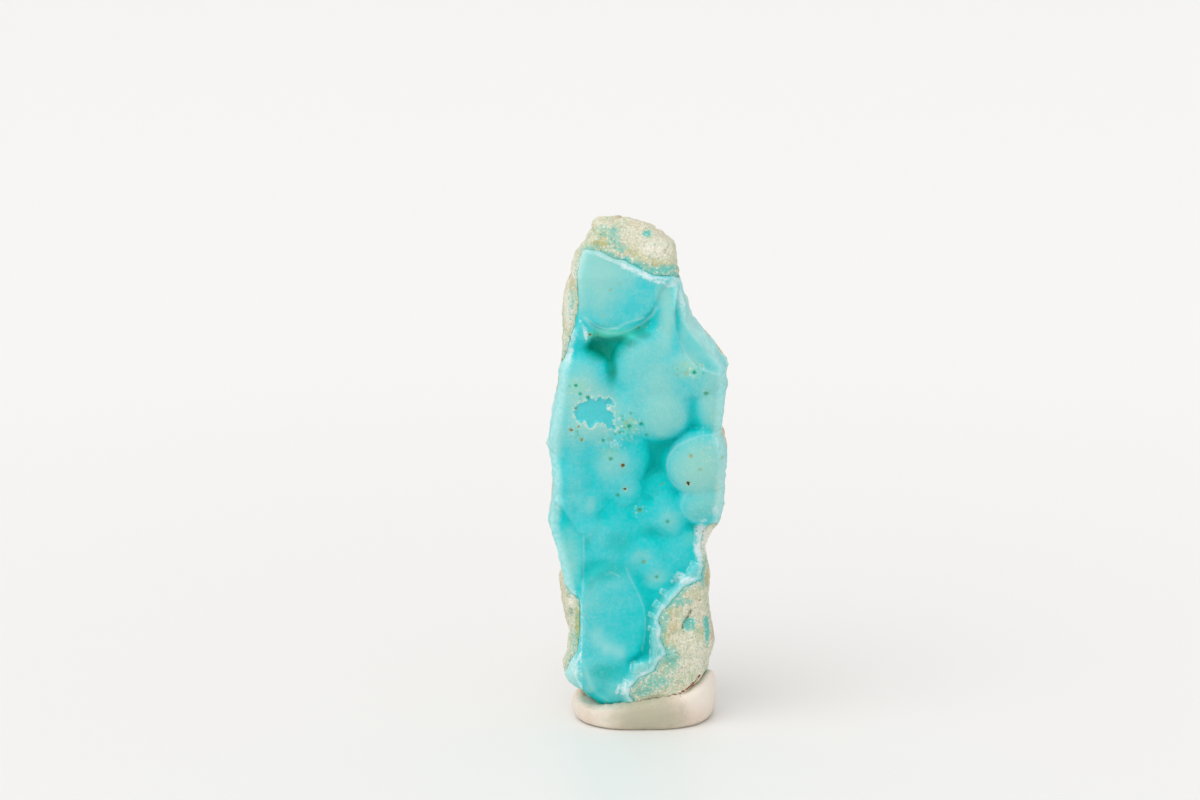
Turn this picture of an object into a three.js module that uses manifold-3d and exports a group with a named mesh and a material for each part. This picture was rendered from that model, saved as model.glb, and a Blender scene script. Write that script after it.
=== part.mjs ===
// Hemimorphite: a tall, narrow hand specimen. A thick blue botryoidal crust lines the front of a
// pale host rock, and the stone stands in a pat of mineral putty.
//
// Millimetres. +X is the specimen's right as it is displayed, +Y its back, +Z up. The origin is on
// the surface that the putty stands on, under the middle of the specimen.

import * as THREE from "three";
import { mergeVertices } from "three/addons/utils/BufferGeometryUtils.js";
import Module from "manifold-3d";

const wasm = await Module();
wasm.setup();

// ---------------------------------------------------------------------------------------------
// Driving dimensions
// ---------------------------------------------------------------------------------------------

const CLEARANCE = 0.3; // between two pieces that touch
const FAR = 40; // beyond the specimen, for cutting tools

// The stone before the hollow is opened in it, from the foot up:
// height, left side, right side, front, back.
const SECTIONS = [
  [1.6, -4.6, 5.4, -4.2, 4.2],
  [2.4, -6.8, 7.4, -6.0, 5.6],
  [3.8, -8.6, 8.7, -7.1, 6.8],
  [5.2, -9.6, 9.6, -7.4, 7.4],
  [7.4, -10.6, 10.4, -7.6, 8.0],
  [9.2, -10.2, 10.5, -7.7, 8.4],
  [11.8, -9.9, 11.3, -7.7, 8.8],
  [14.6, -10.0, 10.7, -7.6, 9.0],
  [17.4, -10.2, 10.3, -7.5, 9.2],
  [20.8, -10.6, 10.6, -7.4, 9.3],
  [23.6, -11.1, 10.2, -7.3, 9.3],
  [26.0, -11.7, 9.6, -7.3, 9.3],
  [28.2, -12.4, 10.7, -7.2, 9.3],
  [30.0, -12.7, 11.8, -7.2, 9.3],
  [32.2, -12.3, 12.3, -7.2, 9.2],
  [36.2, -12.2, 12.4, -7.2, 9.1],
  [39.8, -12.6, 12.8, -7.1, 9.1],
  [42.6, -12.7, 11.8, -7.1, 9.0],
  [47.0, -11.9, 12.3, -7.0, 8.7],
  [52.8, -11.1, 12.5, -6.9, 8.2],
  [55.2, -10.7, 10.8, -6.9, 7.9],
  [57.0, -10.6, 9.0, -6.9, 7.7],
  [59.0, -10.6, 7.6, -6.8, 7.4],
  [62.3, -10.4, 6.3, -6.8, 7.0],
  [65.5, -9.5, 5.5, -6.6, 6.4],
  [68.4, -8.6, 5.0, -5.8, 5.8],
  [70.6, -7.3, 3.7, -4.8, 5.0],
  [72.2, -5.9, 1.6, -3.6, 3.8],
];
const CREST = 73; // height of the rock's top
const ROCK_FACES = { rise: 3.6, front: 11, right: 7, back: 9, left: 7 }; // row height, columns
const FRONT_SQUARENESS = 4.4; // superellipse power: 2 is an ellipse
const BACK_SQUARENESS = 2.8;
const ROCK_ROUGHNESS = 0.42; // depth of a break through the rock, and of one through the crust
const CRUST_ROUGHNESS = 0.05;

// The hollow that the botryoids grew in, seen from the front: x, z.
const HOLLOW = [
  [-7.4, 59.2], [-4.9, 58.6], [-2.6, 58.5], [-0.4, 59.2], [1.6, 60.4], [2.5, 61.8],
  [3.1, 63.5], [4.1, 64.6], [5.8, 63.5], [6.3, 61.6], [6.3, 59.2], [7.2, 57.4],
  [8.3, 56.1], [9.5, 54.4], [10.9, 53.2], [12.0, 51.8], [16.0, 51.0], [16.0, 29.0],
  [9.6, 28.9], [8.8, 24.8], [6.4, 22.5], [4.3, 20.4], [2.4, 18.5], [1.4, 15.0],
  [1.7, 10.1], [-0.6, 9.8], [-1.1, 7.7], [-2.0, 5.9], [-2.0, 0.0], [-7.9, 0.0],
  [-8.0, 5.6], [-7.5, 11.5], [-7.3, 18.6], [-7.6, 24.8], [-8.0, 28.5], [-9.1, 31.9],
  [-16.0, 33.0], [-16.0, 54.0], [-11.6, 54.9], [-9.4, 56.6], [-8.2, 58.0],
];
const HOLLOW_FLOOR = -4.7; // y, between the botryoids
const GROWTH_FACES = { foot: 1.6, top: 66, rise: 1.3, front: 22, right: 6, back: 3, left: 6 };
const LINING = { front: 10, back: 3 }; // how far the growth's sides round off forwards, and its back
const BLEND = 0.45; // how softly two botryoids run into each other

// Places where the hollow goes deeper: x, z, radius in x, radius in z, extra depth.
const PITS = [
  [-5.0, 55.6, 3.0, 1.9, 3.4], // under the crown
  [4.6, 41.4, 1.6, 2.0, 1.6], // between breast and knuckle
  [3.2, 37.6, 1.8, 1.8, 1.0],
  [-4.6, 22.8, 2.4, 1.4, 0.9], // above the shin
  [2.4, 13.4, 1.6, 3.4, 1.2], // right of the shin
];

// The botryoids, as centre x, y, z and radius in x, y, z, and where a lobe is broken off flat, the
// y of the break.
const CROWN_LOBE = [-2.4, -0.5, 63.6, 6.5, 8.1, 7.3];
const CROWN_FACE = { point: [0, -6.5, 60], normal: [0, -1, 0.12] };
const BOTRYOIDS = [
  [4.4, -3.0, 59.0, 2.4, 2.7, 5.6], // ridge beside the crown
  [1.4, -3.0, 52.4, 5.3, 5.2, 5.7], // shoulder
  [2.4, -3.2, 47.5, 5.1, 5.2, 5.1], // breast
  [-7.5, -3.0, 49.5, 4.4, 4.8, 4.9], // cheek
  [-8.4, -3.0, 43.8, 4.3, 5.0, 4.9], // flank
  [-2.0, -2.5, 40.0, 3.9, 4.5, 4.0], // belly
  [-2.3, -2.5, 34.9, 3.1, 3.9, 3.1], // button
  [-5.4, -2.0, 37.8, 3.6, 4.2, 3.6],
  [-6.7, -3.5, 33.1, 2.3, 2.8, 2.3],
  [-5.7, -3.5, 27.4, 2.3, 2.5, 2.3],
  [-2.6, -1.0, 29.6, 5.7, 4.9, 6.4],
  [3.4, -3.5, 35.3, 2.3, 2.8, 2.3],
  [4.2, -3.5, 31.7, 3.0, 3.4, 3.3],
  [8.3, -4.2, 39.2, 4.4, 5.3, 4.7], // knuckle
  [9.0, -3.5, 33.9, 3.4, 4.7, 3.7],
  [1.0, -3.0, 24.4, 3.4, 3.4, 3.7],
  [2.8, -3.0, 22.0, 3.1, 3.2, 2.9],
  [5.5, -2.0, 25.9, 3.7, 3.9, 4.0],
  [-3.7, -3.4, 16.1, 4.7, 5.0, 6.7, -7.5], // shin
  [-6.9, -3.5, 8.4, 2.3, 4.1, 3.1],
  [-3.3, -3.4, 6.6, 3.7, 4.0, 3.1], // toe
  [-9.7, -2.0, 36.9, 2.9, 5.0, 4.3],
  [-11.0, -2.5, 30.9, 1.9, 4.0, 1.9],
  [9.6, -2.5, 48.0, 2.3, 4.1, 4.6],
  [8.6, -2.5, 50.8, 2.9, 3.9, 2.9],
  [-9.5, -2.0, 8.0, 1.3, 3.0, 1.7],
];

// Lumps of host rock: the crest's two humps, and the lump that shows past the left side.
const ROCK_LUMPS = [
  [-3.9, -0.4, 70.6, 3.4, 3.4, 2.7],
  [1.2, -0.2, 69.6, 3.4, 3.6, 2.6],
  [-8.7, 4.2, 17.6, 2.5, 4.2, 5.4],
];
const LUMP_ROUGHNESS = 0.06; // share of the radius

// Flat breaks, each a plane that has stone only behind it: a point on it, and the way it faces.
const BREAKS = [
  { point: [1.0, 8.9, 34], normal: [0.13, 0.98, -0.02] }, // back
  { point: [-1.0, 7.7, 56], normal: [-0.06, 0.97, 0.2] }, // back, above
  { point: [-2.0, 8.7, 17], normal: [-0.14, 0.96, -0.13] }, // back, below
  { point: [-8.6, 6.2, 50], normal: [-0.66, 0.74, 0.1] }, // back, upper left
  { point: [8.8, 6.4, 44], normal: [0.72, 0.69, 0.06] }, // back, upper right
  { point: [-7.6, 7.0, 10], normal: [-0.5, 0.84, -0.2] }, // back, lower left
  { point: [8.4, 6.6, 14], normal: [0.78, 0.62, -0.1] }, // back, lower right
  { point: [0, 5.4, 67], normal: [0.1, 0.8, 0.6] }, // back, under the crest
];

// The crust is chipped beside the shoulder: the chip's outline in x and z, and its plane.
const CHIP = [
  [5.4, 62.6], [5.0, 58.8], [5.9, 55.0], [8.0, 51.2], [10.6, 49.4], [16.0, 48.0], [16.0, 62.6],
];
const CHIP_FACE = { point: [9.6, -5.2, 54.0], normal: [0.45, -0.82, 0.35] };

// Where the crust shows on the front: x, z. It runs past the stone where it reaches a side.
const CRUST = [
  [-8.6, 69.9], [-5.4, 69.0], [-1.9, 67.7], [1.6, 66.0], [5.3, 65.3], [18.0, 65.0],
  [18.0, 29.6], [10.5, 29.3], [9.0, 27.7], [8.9, 25.1], [8.5, 21.5], [6.9, 21.3],
  [5.4, 19.8], [3.9, 17.9], [2.7, 15.8], [2.8, 14.4], [2.9, 13.0], [4.0, 11.0],
  [2.4, 9.5], [1.8, 8.4], [0.5, 8.1], [-0.7, 7.1], [-1.6, 5.1], [-0.7, 4.2],
  [-0.7, -2.0], [-18.0, -2.0], [-18.0, 10.0], [-8.3, 10.1], [-8.0, 18.6], [-9.4, 19.4],
  [-18.0, 20.4], [-18.0, 54.0], [-11.5, 54.2], [-10.2, 55.8], [-8.9, 58.6], [-8.4, 62.2],
  [-8.6, 66.5],
];

// The crust's back follows the wall of the old cavity: deepest in the middle of the stone. On the
// stone's sides, behind y = side, its upper edge falls and its lower edge climbs, by slant per mm.
const CONTACT = { depth: 0.6, bow: 0.017, wave: 0.5, slant: 0.012, middle: 42, side: -5.2 };

// The pat of putty, and how its side bulges, as share of the half width and height.
const PUTTY = {
  centre: [0.8, -0.5],
  halfWidth: 10.1,
  halfDepth: 7.9,
  squareness: 0.74,
  around: 48,
  side: [
    [0.9, 0],
    [0.955, 0.5],
    [0.99, 1.3],
    [1, 2.4],
    [0.975, 3.4],
    [0.92, 4.1],
    [0.84, 4.5],
  ],
  top: 4.8,
  lean: 0.055, // how much taller the right side is pushed up, per mm
};

// ---------------------------------------------------------------------------------------------
// Solids
// ---------------------------------------------------------------------------------------------

// A closed three.js geometry as a solid that can be joined and cut.
function solid(geometry) {
  geometry.deleteAttribute("normal");
  geometry.deleteAttribute("uv");
  const merged = mergeVertices(geometry, 1e-4);
  return new wasm.Manifold(
    new wasm.Mesh({
      numProp: 3,
      vertProperties: new Float32Array(merged.attributes.position.array),
      triVerts: new Uint32Array(merged.index.array),
    }),
  );
}

const joined = (solids) => solids.reduce((whole, piece) => whole.add(piece));

// A number from -1 to 1 that looks random and is always the same for the same two integers.
function jitter(i, j) {
  const s = Math.sin(i * 12.9898 + j * 78.233) * 43758.5453;
  return 2 * (s - Math.floor(s)) - 1;
}

// A point of a rounded rectangle of half width and half depth 1, walked anticlockwise from its front
// left corner: faces says how many columns of faces each side has.
function perimeterPoint(column, { front, right, back, left }) {
  const corners = [[-1, -1], [1, -1], [1, 1], [-1, 1], [-1, -1]];
  const counts = [front, right, back, left];
  let side = 0;
  while (column >= counts[side]) column -= counts[side++];
  const [x, y] = corners[side].map((value, k) =>
    THREE.MathUtils.lerp(value, corners[side + 1][k], column / counts[side]),
  );
  const power = y < 0 ? FRONT_SQUARENESS : BACK_SQUARENESS;
  const reach = (Math.abs(x) ** power + Math.abs(y) ** power) ** (-1 / power);
  return [x * reach, y * reach];
}

const columnsOf = ({ front, right, back, left }) => front + right + back + left;

// A lathe of unit radius whose points are then moved: place(column, reach, height, row) says where.
function movedLathe(profile, around, place) {
  const lathe = new THREE.LatheGeometry(
    profile.map(([reach, height]) => new THREE.Vector2(reach, height)),
    around,
  );
  const points = lathe.attributes.position;
  for (let i = 0; i < points.count; i++) {
    const row = i % profile.length;
    const column = Math.floor(i / profile.length) % around;
    points.setXYZ(i, ...place(column, profile[row][0], profile[row][1], row));
  }
  return solid(lathe);
}

function ellipsoid([x, y, z, rx, ry, rz], grow = 0, roughness = 0) {
  const detail = Math.max(2, Math.round((rx + rz) * 0.32));
  const ball = new THREE.IcosahedronGeometry(1, detail);
  const points = ball.attributes.position;
  for (let i = 0; roughness && i < points.count; i++) {
    const [px, py, pz] = [points.getX(i), points.getY(i), points.getZ(i)];
    const reach = 1 + roughness * jitter(Math.round(px * 50), Math.round((2 * py + pz) * 50));
    points.setXYZ(i, px * reach, py * reach, pz * reach);
  }
  ball.scale(rx + grow, ry + grow, rz + grow).translate(x, y, z);
  return solid(ball);
}

// A prism whose outline is drawn in x and z, from y = front to y = back. Its height can be made to
// change towards the back: heightAt(y, z) says what z becomes.
function prism(outline, front, back, heightAt = (y, z) => z, steps = 1) {
  const shape = new THREE.Shape(outline.map(([x, z]) => new THREE.Vector2(x, z)));
  const bar = new THREE.ExtrudeGeometry(shape, { depth: back - front, steps, bevelEnabled: false });
  bar.rotateX(Math.PI / 2).translate(0, back, 0);
  const points = bar.attributes.position;
  for (let i = 0; i < points.count; i++)
    points.setZ(i, heightAt(points.getY(i), points.getZ(i)));
  return solid(bar);
}

// Everything in front of a plane, as a large block that faces along the plane's normal.
function beyond({ point, normal }, grow = 0) {
  const away = new THREE.Vector3(...normal).normalize();
  const block = new THREE.BoxGeometry(2 * FAR, 2 * FAR, FAR).translate(0, 0, FAR / 2 + grow);
  block.applyQuaternion(new THREE.Quaternion().setFromUnitVectors(new THREE.Vector3(0, 0, 1), away));
  block.translate(...point);
  return solid(block);
}

// An outline with each corner moved outwards by an amount.
function widened(outline, amount) {
  const area = THREE.ShapeUtils.area(outline.map(([x, z]) => new THREE.Vector2(x, z)));
  const outwards = Math.sign(area) * amount;
  return outline.map(([x, z], i) => {
    const [x0, z0] = outline.at(i - 1);
    const [x1, z1] = outline[(i + 1) % outline.length];
    const along = new THREE.Vector2(x1 - x0, z1 - z0).normalize();
    return [x + along.y * outwards, z - along.x * outwards];
  });
}

// ---------------------------------------------------------------------------------------------
// The stone
// ---------------------------------------------------------------------------------------------

// Left, right, front and back of the stone at a height.
function sectionAt(height) {
  const above = SECTIONS.findIndex(([z]) => z >= height);
  if (above <= 0) return (above === 0 ? SECTIONS[0] : SECTIONS.at(-1)).slice(1);
  const [low, high] = [SECTIONS[above - 1], SECTIONS[above]];
  const share = (height - low[0]) / (high[0] - low[0]);
  return low.slice(1).map((value, k) => THREE.MathUtils.lerp(value, high[k + 1], share));
}

// Heights of the rows of faces: every section, and rows between where sections are far apart.
function rowHeights() {
  const rows = [];
  SECTIONS.slice(0, -1).forEach(([z], i) => {
    const gap = SECTIONS[i + 1][0] - z;
    const steps = Math.ceil(gap / ROCK_FACES.rise);
    for (let k = 0; k < steps; k++) rows.push(z + (gap * k) / steps);
  });
  return [...rows, SECTIONS.at(-1)[0]];
}

const insideOutline = (outline, x, z) =>
  outline.reduce((inside, [x1, z1], i) => {
    const [x0, z0] = outline.at(i - 1);
    const crosses = z0 > z !== z1 > z && x < x0 + ((z - z0) * (x1 - x0)) / (z1 - z0);
    return crosses ? !inside : inside;
  }, false);

// The stone with no hollow in it. Broken rock is rough, and a break through the crust is smooth.
function block(grow) {
  const rows = rowHeights();
  const profile = [
    [0, rows[0] - grow],
    [0.5, rows[0] - grow],
    ...rows.map((z) => [1, z]),
    [0.55, THREE.MathUtils.lerp(rows.at(-1), CREST, 0.75) + grow],
    [0, CREST + grow],
  ];
  return movedLathe(profile, columnsOf(ROCK_FACES), (column, reach, height, row) => {
    const [left, right, front, back] = sectionAt(height);
    const [px, py] = perimeterPoint(column, ROCK_FACES);
    const x = (left + right) / 2 + ((right - left) / 2 + grow) * reach * px;
    const y = (front + back) / 2 + ((back - front) / 2 + grow) * reach * py;
    const isCrust = y < HOLLOW_FLOOR && insideOutline(CRUST, x, height);
    const push = reach * (isCrust ? CRUST_ROUGHNESS : ROCK_ROUGHNESS) * jitter(row, column);
    return [x + push * px, y + push * py, height + 0.4 * push];
  });
}

// How far forward the growth reaches at a place on the front: the botryoids, run into each other.
function growthFront(x, z) {
  let floor = -HOLLOW_FLOOR;
  for (const [px, pz, rx, rz, depth] of PITS)
    floor -= depth * Math.exp(-(((x - px) / rx) ** 2) - ((z - pz) / rz) ** 2);
  let sum = Math.exp(floor / BLEND);
  for (const [cx, cy, cz, rx, ry, rz, flat = -FAR] of BOTRYOIDS) {
    const away = Math.hypot((x - cx) / rx, (z - cz) / rz);
    const rise = away < 1 ? ry * Math.sqrt(1 - away * away) : (1 - away) * 2 * ry;
    sum += Math.exp(Math.min(rise - cy, -flat) / BLEND);
  }
  return -BLEND * Math.log(sum);
}

// The growth: its front is the botryoids, and its sides bulge where a botryoid reaches them.
function growth(grow) {
  const { foot, top, rise } = GROWTH_FACES;
  const rows = Array.from({ length: Math.round((top - foot) / rise) }, (_, i) => foot + i * rise);
  const profile = [[0, foot - grow], ...rows.map((z) => [1, z]), [0, top + grow]];
  return movedLathe(profile, columnsOf(GROWTH_FACES), (column, reach, height) => {
    const [left, right] = sectionAt(height);
    const [px, py] = perimeterPoint(column, GROWTH_FACES);
    const x = (left + right) / 2 + ((right - left) / 2 + grow) * reach * px;
    const y = py > 0 ? LINING.back * py : Math.max(growthFront(x, height) - grow, LINING.front * py);
    return [x, reach * y, height];
  });
}

// The whole stone, crust and rock together.
function stone(grow = 0) {
  const uncut = joined([block(grow), ...ROCK_LUMPS.map((lump) => ellipsoid(lump, grow, LUMP_ROUGHNESS))]);
  const hollow = prism(widened(HOLLOW, -grow), -FAR, 1);
  const lining = growth(grow).intersect(prism(widened(HOLLOW, 0.2), -FAR, 2));
  const crown = ellipsoid(CROWN_LOBE, grow).subtract(beyond(CROWN_FACE, grow));
  const chip = prism(CHIP, -FAR, FAR).intersect(beyond(CHIP_FACE, grow));
  const open = uncut.subtract(hollow).add(lining).add(crown);
  return BREAKS.reduce((whole, plane) => whole.subtract(beyond(plane, grow)), open.subtract(chip));
}

// ---------------------------------------------------------------------------------------------
// Where the crust ends and the host rock begins
// ---------------------------------------------------------------------------------------------

function contactDepth(x, z) {
  const wave = Math.sin(0.31 * z + 0.22 * x) + 0.6 * Math.sin(0.67 * z - 0.5 * x);
  return CONTACT.depth - CONTACT.bow * x * x + CONTACT.wave * wave;
}

function crustRegion(grow = 0) {
  const block = new THREE.BoxGeometry(FAR, FAR, 80, 8, 1, 20).translate(0, -FAR / 2, 36);
  const points = block.attributes.position;
  for (let i = 0; i < points.count; i++) {
    const [x, y, z] = [points.getX(i), points.getY(i), points.getZ(i)];
    if (y === 0) points.setY(i, contactDepth(x, z) + grow);
  }
  const leaning = (y, z) => {
    const behind = Math.max(0, y - CONTACT.side);
    return z + behind * (CONTACT.slant * (CONTACT.middle - z) + 0.07 * Math.sin(1.7 * y + z));
  };
  return solid(block).intersect(prism(widened(CRUST, grow), -12, 4, leaning, 5));
}

// ---------------------------------------------------------------------------------------------
// The putty
// ---------------------------------------------------------------------------------------------

function puttyPat() {
  const { centre, halfWidth, halfDepth, squareness, around, side, lean, top } = PUTTY;
  const profile = [[0, 0], ...side, [0.5, top], [0, top]];
  return movedLathe(profile, around, (column, reach, height) => {
    const angle = (2 * Math.PI * column) / around;
    const squared = (share) => Math.sign(share) * Math.abs(share) ** squareness;
    const thumb = 1 + 0.02 * Math.sin(3 * angle + 0.7) + 0.012 * Math.sin(5 * angle);
    const x = halfWidth * reach * squared(Math.cos(angle)) * thumb;
    const y = halfDepth * reach * squared(Math.sin(angle)) * thumb;
    return [centre[0] + x, centre[1] + y, height * (1 + lean * x)];
  });
}

// ---------------------------------------------------------------------------------------------
// The specimen
// ---------------------------------------------------------------------------------------------

function named(name, shape, look) {
  const mesh = shape.getMesh();
  const geometry = new THREE.BufferGeometry();
  geometry.setAttribute("position", new THREE.BufferAttribute(mesh.vertProperties, 3));
  geometry.setIndex(new THREE.BufferAttribute(mesh.triVerts, 1));
  const piece = new THREE.Mesh(geometry, new THREE.MeshStandardMaterial(look));
  piece.name = name;
  return piece;
}

// The largest body of a solid: a cut can leave a loose crumb.
const largest = (shape) => shape.decompose().sort((a, b) => b.volume() - a.volume())[0];

const whole = stone();
const crust = largest(whole.intersect(crustRegion()));
const rock = largest(whole.subtract(crustRegion(CLEARANCE)));
const putty = largest(puttyPat().subtract(stone(CLEARANCE)));

const specimen = new THREE.Group();
specimen.add(
  named("hemimorphite_crust", crust, { color: 0x5fcbc9, roughness: 0.42, metalness: 0 }),
  named("host_rock", rock, { color: 0xd9d6bc, roughness: 0.9, metalness: 0 }),
  named("putty_base", putty, { color: 0xe6dccd, roughness: 0.75, metalness: 0 }),
);

export default specimen;
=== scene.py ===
"""A hemimorphite hand specimen: blue botryoidal crust on pale host rock, standing in mineral putty.

The shapes are distance fields in millimetres, meshed on a fine lattice. X is the specimen's right as
displayed, Y its back and Z up, from the middle of the putty's underside.
"""

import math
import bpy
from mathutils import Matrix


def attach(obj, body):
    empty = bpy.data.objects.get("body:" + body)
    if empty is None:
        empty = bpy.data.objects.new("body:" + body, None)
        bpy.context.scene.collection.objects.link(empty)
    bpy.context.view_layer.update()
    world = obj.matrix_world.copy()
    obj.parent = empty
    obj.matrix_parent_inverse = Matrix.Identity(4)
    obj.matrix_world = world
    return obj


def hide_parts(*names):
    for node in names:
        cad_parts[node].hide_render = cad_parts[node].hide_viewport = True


bl_info = {
    "name": "Hemimorphite Specimen",
    "version": (1, 0, 0),
    "blender": (4, 5, 0),
    "location": "View3D > Sidebar > Specimen",
    "description": "Builds a botryoidal hemimorphite specimen in mineral putty, and the stage it stands on",
    "category": "Add Mesh",
}

import bpy
import numpy as np
from mathutils import Color, Vector

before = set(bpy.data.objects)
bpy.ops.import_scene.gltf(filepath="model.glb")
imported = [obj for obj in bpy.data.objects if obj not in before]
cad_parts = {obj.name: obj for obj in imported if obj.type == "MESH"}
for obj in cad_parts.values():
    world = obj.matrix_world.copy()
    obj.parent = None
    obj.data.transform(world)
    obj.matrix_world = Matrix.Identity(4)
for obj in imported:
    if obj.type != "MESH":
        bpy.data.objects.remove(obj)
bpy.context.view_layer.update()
MM = 0.001
FAR = 9.0  # millimetres: farther than any place that matters from a pore or a plate


# ---- Driving dimensions, in millimetres ----

# The stone before the hollow is opened in it, from the foot up:
# height, left side, right side, front, back.
SECTIONS = np.array([
    (1.6, -4.6, 5.4, -4.2, 4.2), (2.4, -6.8, 7.4, -6, 5.6), (3.8, -8.6, 8.7, -7.1, 6.8),
    (5.2, -9.6, 9.6, -7.4, 7.4), (7.4, -10.6, 10.4, -7.6, 8), (9.2, -10.2, 10.5, -7.7, 8.4),
    (11.8, -9.9, 11.3, -7.7, 8.8), (14.6, -10, 10.7, -7.6, 9), (17.4, -10.2, 10.3, -7.5, 9.2),
    (20.8, -10.6, 10.6, -7.4, 9.3), (23.6, -11.1, 10.2, -7.3, 9.3), (26, -11.7, 9.6, -7.3, 9.3),
    (28.2, -12.4, 10.7, -7.2, 9.3), (30, -12.7, 11.8, -7.2, 9.3), (32.2, -12.3, 12.3, -7.2, 9.2),
    (36.2, -12.2, 12.4, -7.2, 9.1), (39.8, -12.6, 12.8, -7.1, 9.1), (42.6, -12.7, 11.8, -7.1, 9),
    (47, -11.9, 12.3, -7, 8.7), (52.8, -11.1, 12.5, -6.9, 8.2), (55.2, -10.7, 10.8, -6.9, 7.9),
    (57, -10.6, 9, -6.9, 7.7), (59, -10.6, 7.6, -6.8, 7.4), (62.3, -10.4, 6.3, -6.8, 7),
    (65.5, -9.5, 5.8, -6.6, 6.4), (68.4, -8.6, 5.4, -5.8, 5.8), (69.3, -8.1, 5.1, -5.4, 5.5),
    (70.4, -7.4, 3.7, -4.9, 5.1), (72.2, -5.6, 1.6, -3.6, 3.8), (73, -3.8, -0.4, -1.9, 2),
])
FRONT_SQUARENESS = 4.4  # superellipse power: 2 is an ellipse
BACK_SQUARENESS = 2.8
TOP_SPARE = 0.2  # room above the topmost section

# The hollow that the botryoids grew in, seen from the front: x, z.
HOLLOW = [
    (-7.4, 59.2), (-4.9, 58.6), (-2.6, 58.5), (-0.4, 59.2), (1.6, 60.4), (2.5, 61.8), (3.1, 63.5),
    (4.1, 64.6), (5.8, 63.5), (6.3, 61.6), (6.3, 59.2), (7.2, 57.4), (8.3, 56.1), (9.5, 54.4), (10.9, 53.2),
    (12, 51.8), (16, 51), (16, 29), (9.6, 28.9), (8.8, 24.8), (6.6, 22.2), (4.6, 20), (2.8, 18), (1.9, 15),
    (2.1, 10.6), (-0.4, 9.6), (-1.1, 7.7), (-2, 5.9), (-2, 0), (-7.9, 0), (-8, 5.6), (-7.5, 11.5),
    (-7.4, 17.2), (-16, 16.6), (-16, 54), (-11.6, 54.9), (-9.4, 56.6), (-8.2, 58),
]
HOLLOW_FLOOR = -5.0  # y, between the botryoids
HOLLOW_BACK = 1  # y as far as which the stone is opened behind them
SIDE_ROUNDING = -10.0  # y that the growth's sides round off towards
SIDES_FROM = -4.9  # y behind which a place counts as the crust's side
SIDE_STRIP = 1.9  # how far in from the stone's sides a place counts as beside them

# The growth that lines the hollow: how far it goes past the outline, the y from which it widens
# backwards, its back, and its steepest slope.
LINING = {"past": 0.35, "widens_from": -5, "back": 4, "steepest": 4}
FILLETS = {"lumps": 0.8, "hollow": 0.6, "crown": 1.6, "growth": 0.4}  # between the stone's parts

# Places where the hollow goes deeper: x, z, radius in x, radius in z, extra depth.
PITS = [
    (-4.7, 55.2, 2.4, 1.9, 3.2),  # under the crown
    (-3.8, 52.6, 0.7, 2, 1.6),  # between cheek and shoulder
    (4.6, 41.4, 1.6, 2, 1.6),  # between breast and knuckle
    (3.2, 37.6, 1.8, 1.8, 1),
    (-4.6, 22.8, 2.4, 1.4, 0.9),  # above the shin
    (2.6, 13.4, 1.6, 3.4, 0.15),  # right of the shin
]

# The crown: a lobe and a smaller one under it, both broken off flat at the same plane.
CROWN_LOBES = [(-2.4, -0.5, 63.6, 6.5, 8.1, 7.3), (-3.3, -1.6, 60.4, 5.4, 5.5, 5)]
CROWN_FACE = ((0, -6.5, 60), (0, -1, 0.12))

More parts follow.
